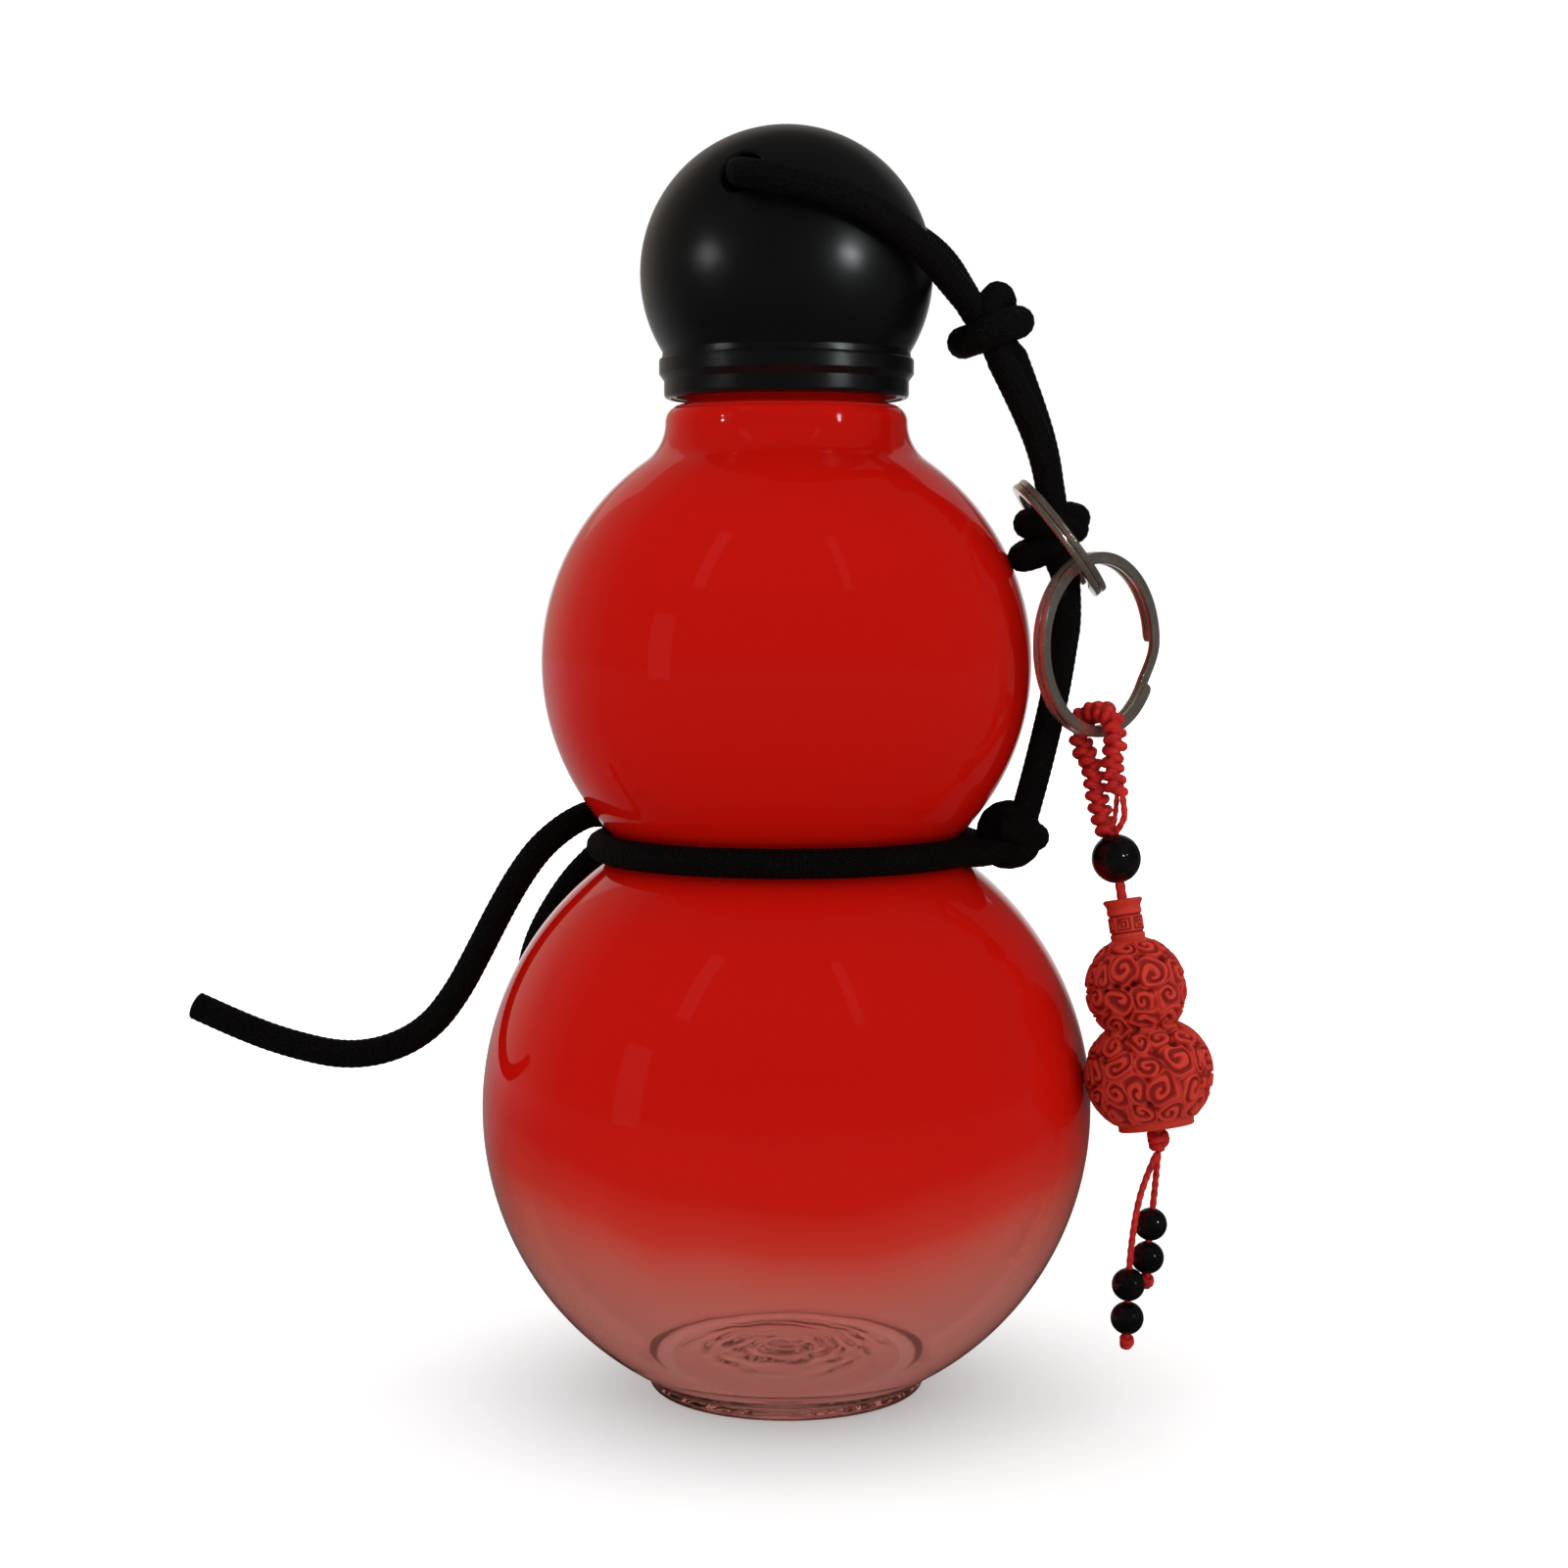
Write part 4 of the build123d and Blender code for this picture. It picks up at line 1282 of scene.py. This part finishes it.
def glass_outline():
    """Outside and then inside of the glass, from the middle of the punt round to the floor inside."""
    lower, upper = (0, lower_height), (0, upper_height)
    waist = (waist_loop_radius - cord_diameter / 2 - cord_gap + waist_blend, waist_height)
    neck = (neck_radius + neck_blend, neck_level)
    foot_flat = foot_radius - foot_round
    shoulder = neck_radius - shoulder_round
    mouth = collar_top + finish_height
    rim_level = mouth - rim_round
    outer_rim, inner_rim = finish_radius - rim_round, neck_bore_radius + rim_round
    outer = trace(
        (0.0, punt_depth),
        ((foot_flat - foot_ring_width, 0), 40),
        ((foot_flat, 0), 4),
        ((foot_radius, foot_round), 6, (foot_flat, foot_round)),
        ((foot_radius, foot_height), 2),
        (between(lower, waist, lower_radius), 90, lower),
        (between(upper, waist, upper_radius), 14, waist),
        (between(upper, neck, upper_radius), 80, upper),
        ((neck_radius, neck_level), 16, neck),
        ((shoulder, collar_top), 10, (shoulder, neck_level)),
        ((finish_radius, collar_top), 2),
        ((finish_radius, rim_level), 4),
        ((outer_rim, mouth), 5, (outer_rim, rim_level)),
    )
    inner_lower, inner_upper = lower_radius - glass_wall, upper_radius - glass_wall
    bore_reach = neck_bore_radius + neck_blend
    bore = (bore_reach, blend_level(inner_upper, bore_reach))
    corner_level = floor_height + floor_corner_rise
    floor_start = sqrt(inner_lower**2 - (lower_height - corner_level) ** 2)
    inner = trace(
        outer[-1],
        ((inner_rim, mouth), 2),
        ((neck_bore_radius, rim_level), 5, (inner_rim, rim_level)),
        ((neck_bore_radius, bore[1]), 6),
        (between(upper, bore, inner_upper), 16, bore),
        (between(upper, waist, inner_upper), 80, upper),
        (between(lower, waist, inner_lower), 14, waist),
        ((floor_start, corner_level), 80, lower),
        ((floor_start - floor_corner_rise, floor_height), 3),
        ((0.0, floor_height + floor_rise), 110),
    )[1:]
    return [(r, z, 0) for r, z in outer] + [(r, z, 1) for r, z in inner]


def glass_ripples(radius, height, turn, material):
    """Rings and a swirl left in the floor of the bottle where the glass was gathered."""
    if height > floor_height + floor_rise or radius > ripple_reach:
        return 0.0
    fade = 1 - (radius / ripple_reach) ** 2
    if material == 0:
        return fade * punt_ripple_height * sin(2 * pi * radius / punt_ripple_pitch)
    point = Vector((radius * cos(turn), radius * sin(turn), 0))
    bent = radius * (1 + swirl_bend * sin(turn + swirl_turn)) + swirl_wobble * noise(point * swirl_noise)
    swirl = sin(2 * pi * bent / ripple_pitch - turn)
    return fade * ripple_height * swirl * min(1.0, radius / swirl_eye)


ripple_reach = 0.0195
ripple_height = 0.00022
ripple_pitch = 0.0034
punt_ripple_height = 0.00011
punt_ripple_pitch = 0.00578
swirl_bend = 0.25
swirl_turn = 0.7
swirl_wobble = 0.0012
swirl_noise = 220
swirl_eye = 0.002
thread_steps = 140
thread_fade_share = 0.07


def make_finish_thread(start_turn):
    """One start of the thread on the finish, run out at both ends."""
    vertices = []
    sunk, half_root, half_crest = finish_radius - thread_crest, thread_root / 2, thread_crest / 2
    for step in range(thread_steps + 1):
        share = step / thread_steps
        turn = radians(start_turn) + 2 * pi * thread_turns * share
        height = collar_top + thread_offset + thread_lead * thread_turns * share
        fade = min(1.0, share / thread_fade_share, (1 - share) / thread_fade_share)
        crest = finish_radius + thread_depth * sin(fade * pi / 2)
        section = (
            (sunk, -half_root), (finish_radius, -half_root), (crest, -half_crest), (crest, half_crest),
            (finish_radius, half_root), (sunk, half_root),
        )
        for radius, lift in section:
            vertices.append((radius * cos(turn), radius * sin(turn), height + lift))
    corners = len(section)
    last = thread_steps * corners
    faces = grid_faces(thread_steps + 1, corners)
    faces += [tuple(range(corners))[::-1], tuple(range(last, last + corners))]
    new_piece(f"finish_thread_{start_turn}", vertices, faces, "bottle", red_glass, smooth=False)


glass = lathe(
    "glass_gourd", glass_outline(), glass_steps, "bottle", [red_glass, clear_glass],
    glass_ripples,
)
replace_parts(glass, "bottle_glass")
for start_turn in (0, 180):
    make_finish_thread(start_turn)


# Stage, light and view


def add_mix(tree, factor, first, second, blend="MIX"):
    """A colour Mix node on links or constants."""
    made = tree.nodes.new("ShaderNodeMix")
    made.data_type = "RGBA"
    made.blend_type = blend
    for socket, value in (("Factor", factor), ("A", first), ("B", second)):
        if isinstance(value, (float, tuple)):
            made.inputs[socket].default_value = value
        else:
            tree.links.new(value, made.inputs[socket])
    return made.outputs["Result"]


def add_vector_math(tree, operation, way, axis=(0, 0, 0)):
    """A Vector Math node on a link."""
    made = tree.nodes.new("ShaderNodeVectorMath")
    made.operation = operation
    made.inputs[1].default_value = axis
    tree.links.new(way, made.inputs[0])
    return made.outputs


def backdrop_colour(tree, way):
    """The backdrop as glass and metal mirror it: white behind, glowing on the left, dim in front."""
    shares = [
        add_ramp(tree, add_vector_math(tree, "DOT_PRODUCT", way, axis)["Value"], stops)
        for axis, stops in ((backdrop_way, backdrop_glow), (behind_way, behind_glow))
    ]
    return add_mix(tree, 1.0, *shares, blend="LIGHTEN")


backdrop_way = (-0.5, 0.866, 0.0)
backdrop_glow = [
    (0.0, 0.045), (0.55, (0.06, 0.055, 0.05)), (0.85, (0.22, 0.18, 0.15)), (1.0, (0.42, 0.36, 0.30)),
]
behind_way = (0, 1, 0)
behind_glow = [(0.90, 0.0), (0.985, 1.0)]


def make_floor():
    """A plain pale floor that keeps the object's shadow and shows white to the camera."""
    made, tree, shader = new_material("pale_floor", floor_finish)
    path = tree.nodes.new("ShaderNodeLightPath").outputs
    shade = add_ramp(tree, object_noise(tree, floor_noise), floor_shades)
    dim = add_mix(tree, path["Is Glossy Ray"], shade, floor_reflection)
    tree.links.new(dim, shader.inputs["Base Color"])
    place = tree.nodes.new("ShaderNodeTexCoord").outputs["Object"]
    length = add_vector_math(tree, "LENGTH", place)["Value"]
    mirrored = backdrop_colour(tree, add_vector_math(tree, "NORMALIZE", place)["Vector"])
    glows = {
        "Is Camera Ray": add_ramp(tree, length, floor_glow),
        "Is Transmission Ray": add_ramp(tree, length, floor_through_glow),
        "Is Glossy Ray": add_math(tree, "MULTIPLY", mirrored, add_ramp(tree, length, floor_mirror_reach)),
    }
    camera, through, glossy = (add_math(tree, "MULTIPLY", path[ray], glow) for ray, glow in glows.items())
    seen = add_math(tree, "MAXIMUM", camera, add_math(tree, "MAXIMUM", through, glossy))
    tree.links.new(seen, shader.inputs["Emission Strength"])
    corners = [(x * floor_half, y * floor_half, 0) for x, y in ((-1, -1), (1, -1), (1, 1), (-1, 1))]
    mesh = bpy.data.meshes.new("floor")
    mesh.from_pydata(corners, [], [(0, 1, 2, 3)])
    mesh.materials.append(made)
    floor = bpy.data.objects.new("floor", mesh)
    bpy.context.scene.collection.objects.link(floor)


white = (1, 1, 1, 1)
floor_half = 6.0
floor_noise = 8.0
floor_shades = [(0.3, 0.80), (0.7, 0.82)]
floor_finish = {"Roughness": 0.9, "Specular IOR Level": 0.0, "Emission Color": white}
floor_reflection = (0.02, 0.02, 0.02, 1)
floor_glow = [(0.05, 0.30), (0.35, 0.60), (0.9, 1.0)]
floor_through_glow = [(0.0, 0.62), (0.35, 0.80), (0.9, 1.0)]
floor_mirror_reach = [(0.04, 0.05), (0.25, 0.6), (0.8, 1.0)]


def make_world():
    """Even soft light all round, white where the camera, glass or metal sees it."""
    world = bpy.data.worlds.new("studio")
    bpy.context.scene.world = world
    world.use_nodes = True
    tree = world.node_tree
    background = tree.nodes["Background"]
    path = tree.nodes.new("ShaderNodeLightPath").outputs
    way = tree.nodes.new("ShaderNodeTexCoord").outputs["Generated"]
    colour = add_mix(tree, path["Is Glossy Ray"], white, backdrop_colour(tree, way))
    tree.links.new(colour, background.inputs["Color"])
    seen = add_math(tree, "MAXIMUM", path["Is Camera Ray"], path["Is Transmission Ray"])
    seen = add_math(tree, "MAXIMUM", seen, path["Is Glossy Ray"])
    tree.links.new(add_math(tree, "MAXIMUM", seen, world_level), background.inputs["Strength"])


world_level = 1.0


def make_lamp(name, way, distance, size, power, colour, aim, beam):
    """A soft lamp that faces a point of the object, as wide open as its beam."""
    data = bpy.data.lights.new(name, "AREA")
    data.shape = "RECTANGLE"
    data.size, data.size_y = size
    data.energy = power
    data.color = colour
    data.spread = radians(beam)
    made = bpy.data.objects.new(name, data)
    bpy.context.scene.collection.objects.link(made)
    made.location = Vector((0, 0, lamp_middle)) + Vector(way).normalized() * distance
    made.rotation_euler = (made.location - Vector(aim)).to_track_quat("Z", "Y").to_euler()
    made.visible_camera = False
    made.visible_transmission = False


lamp_middle = 0.12
middle = (0, 0, lamp_middle)
cap_middle = (0, 0, 0.197)
rings_middle = (0.060, -0.010, 0.138)
charm_middle = (0.064, -0.018, 0.055)
window_way = (0.76, -0.62, 0.26)
lamps = {
    "window_right": (window_way, 0.9, (0.05, 0.05), 0.0019, (0.90, 0.97, 1.0), cap_middle, 3),
    "window_left": ((-0.87, -0.45, 0.26), 0.9, (0.05, 0.05), 0.00066, (0.95, 0.95, 1.0), cap_middle, 3),
    "window_rings": ((0.5, -0.8, 0.3), 0.9, (0.05, 0.10), 0.002, (1.0, 0.98, 0.95), rings_middle, 3),
    "window_charm": (window_way, 0.9, (0.04, 0.07), 0.001, (1.0, 0.98, 0.95), charm_middle, 3),
    "soft_top": ((0.0, 0.05, 1.0), 1.1, (1.2, 0.4), 1.2, (1.0, 0.99, 0.97), middle, 180),
    "soft_behind": ((0.0, 0.85, 0.55), 1.1, (1.4, 0.5), 0.40, (1.0, 0.98, 0.96), middle, 180),
    "panel_left": ((-0.60, -0.58, 0.85), 1.0, (0.10, 0.45), 0.018, (1.0, 0.97, 0.92), middle, 180),
    "panel_right": ((0.44, -0.70, 0.85), 1.0, (0.07, 0.45), 0.010, (1.0, 0.97, 0.92), middle, 180),
    "window_far": ((-0.85, -0.51, 0.13), 1.0, (0.20, 0.45), 0.03, (1.0, 0.98, 0.95), middle, 180),
}

make_floor()
make_world()
for name, facts in lamps.items():
    make_lamp(name, *facts)
bpy.data.objects["soft_top"].visible_glossy = False

bpy.context.scene.view_settings.view_transform = "Standard"
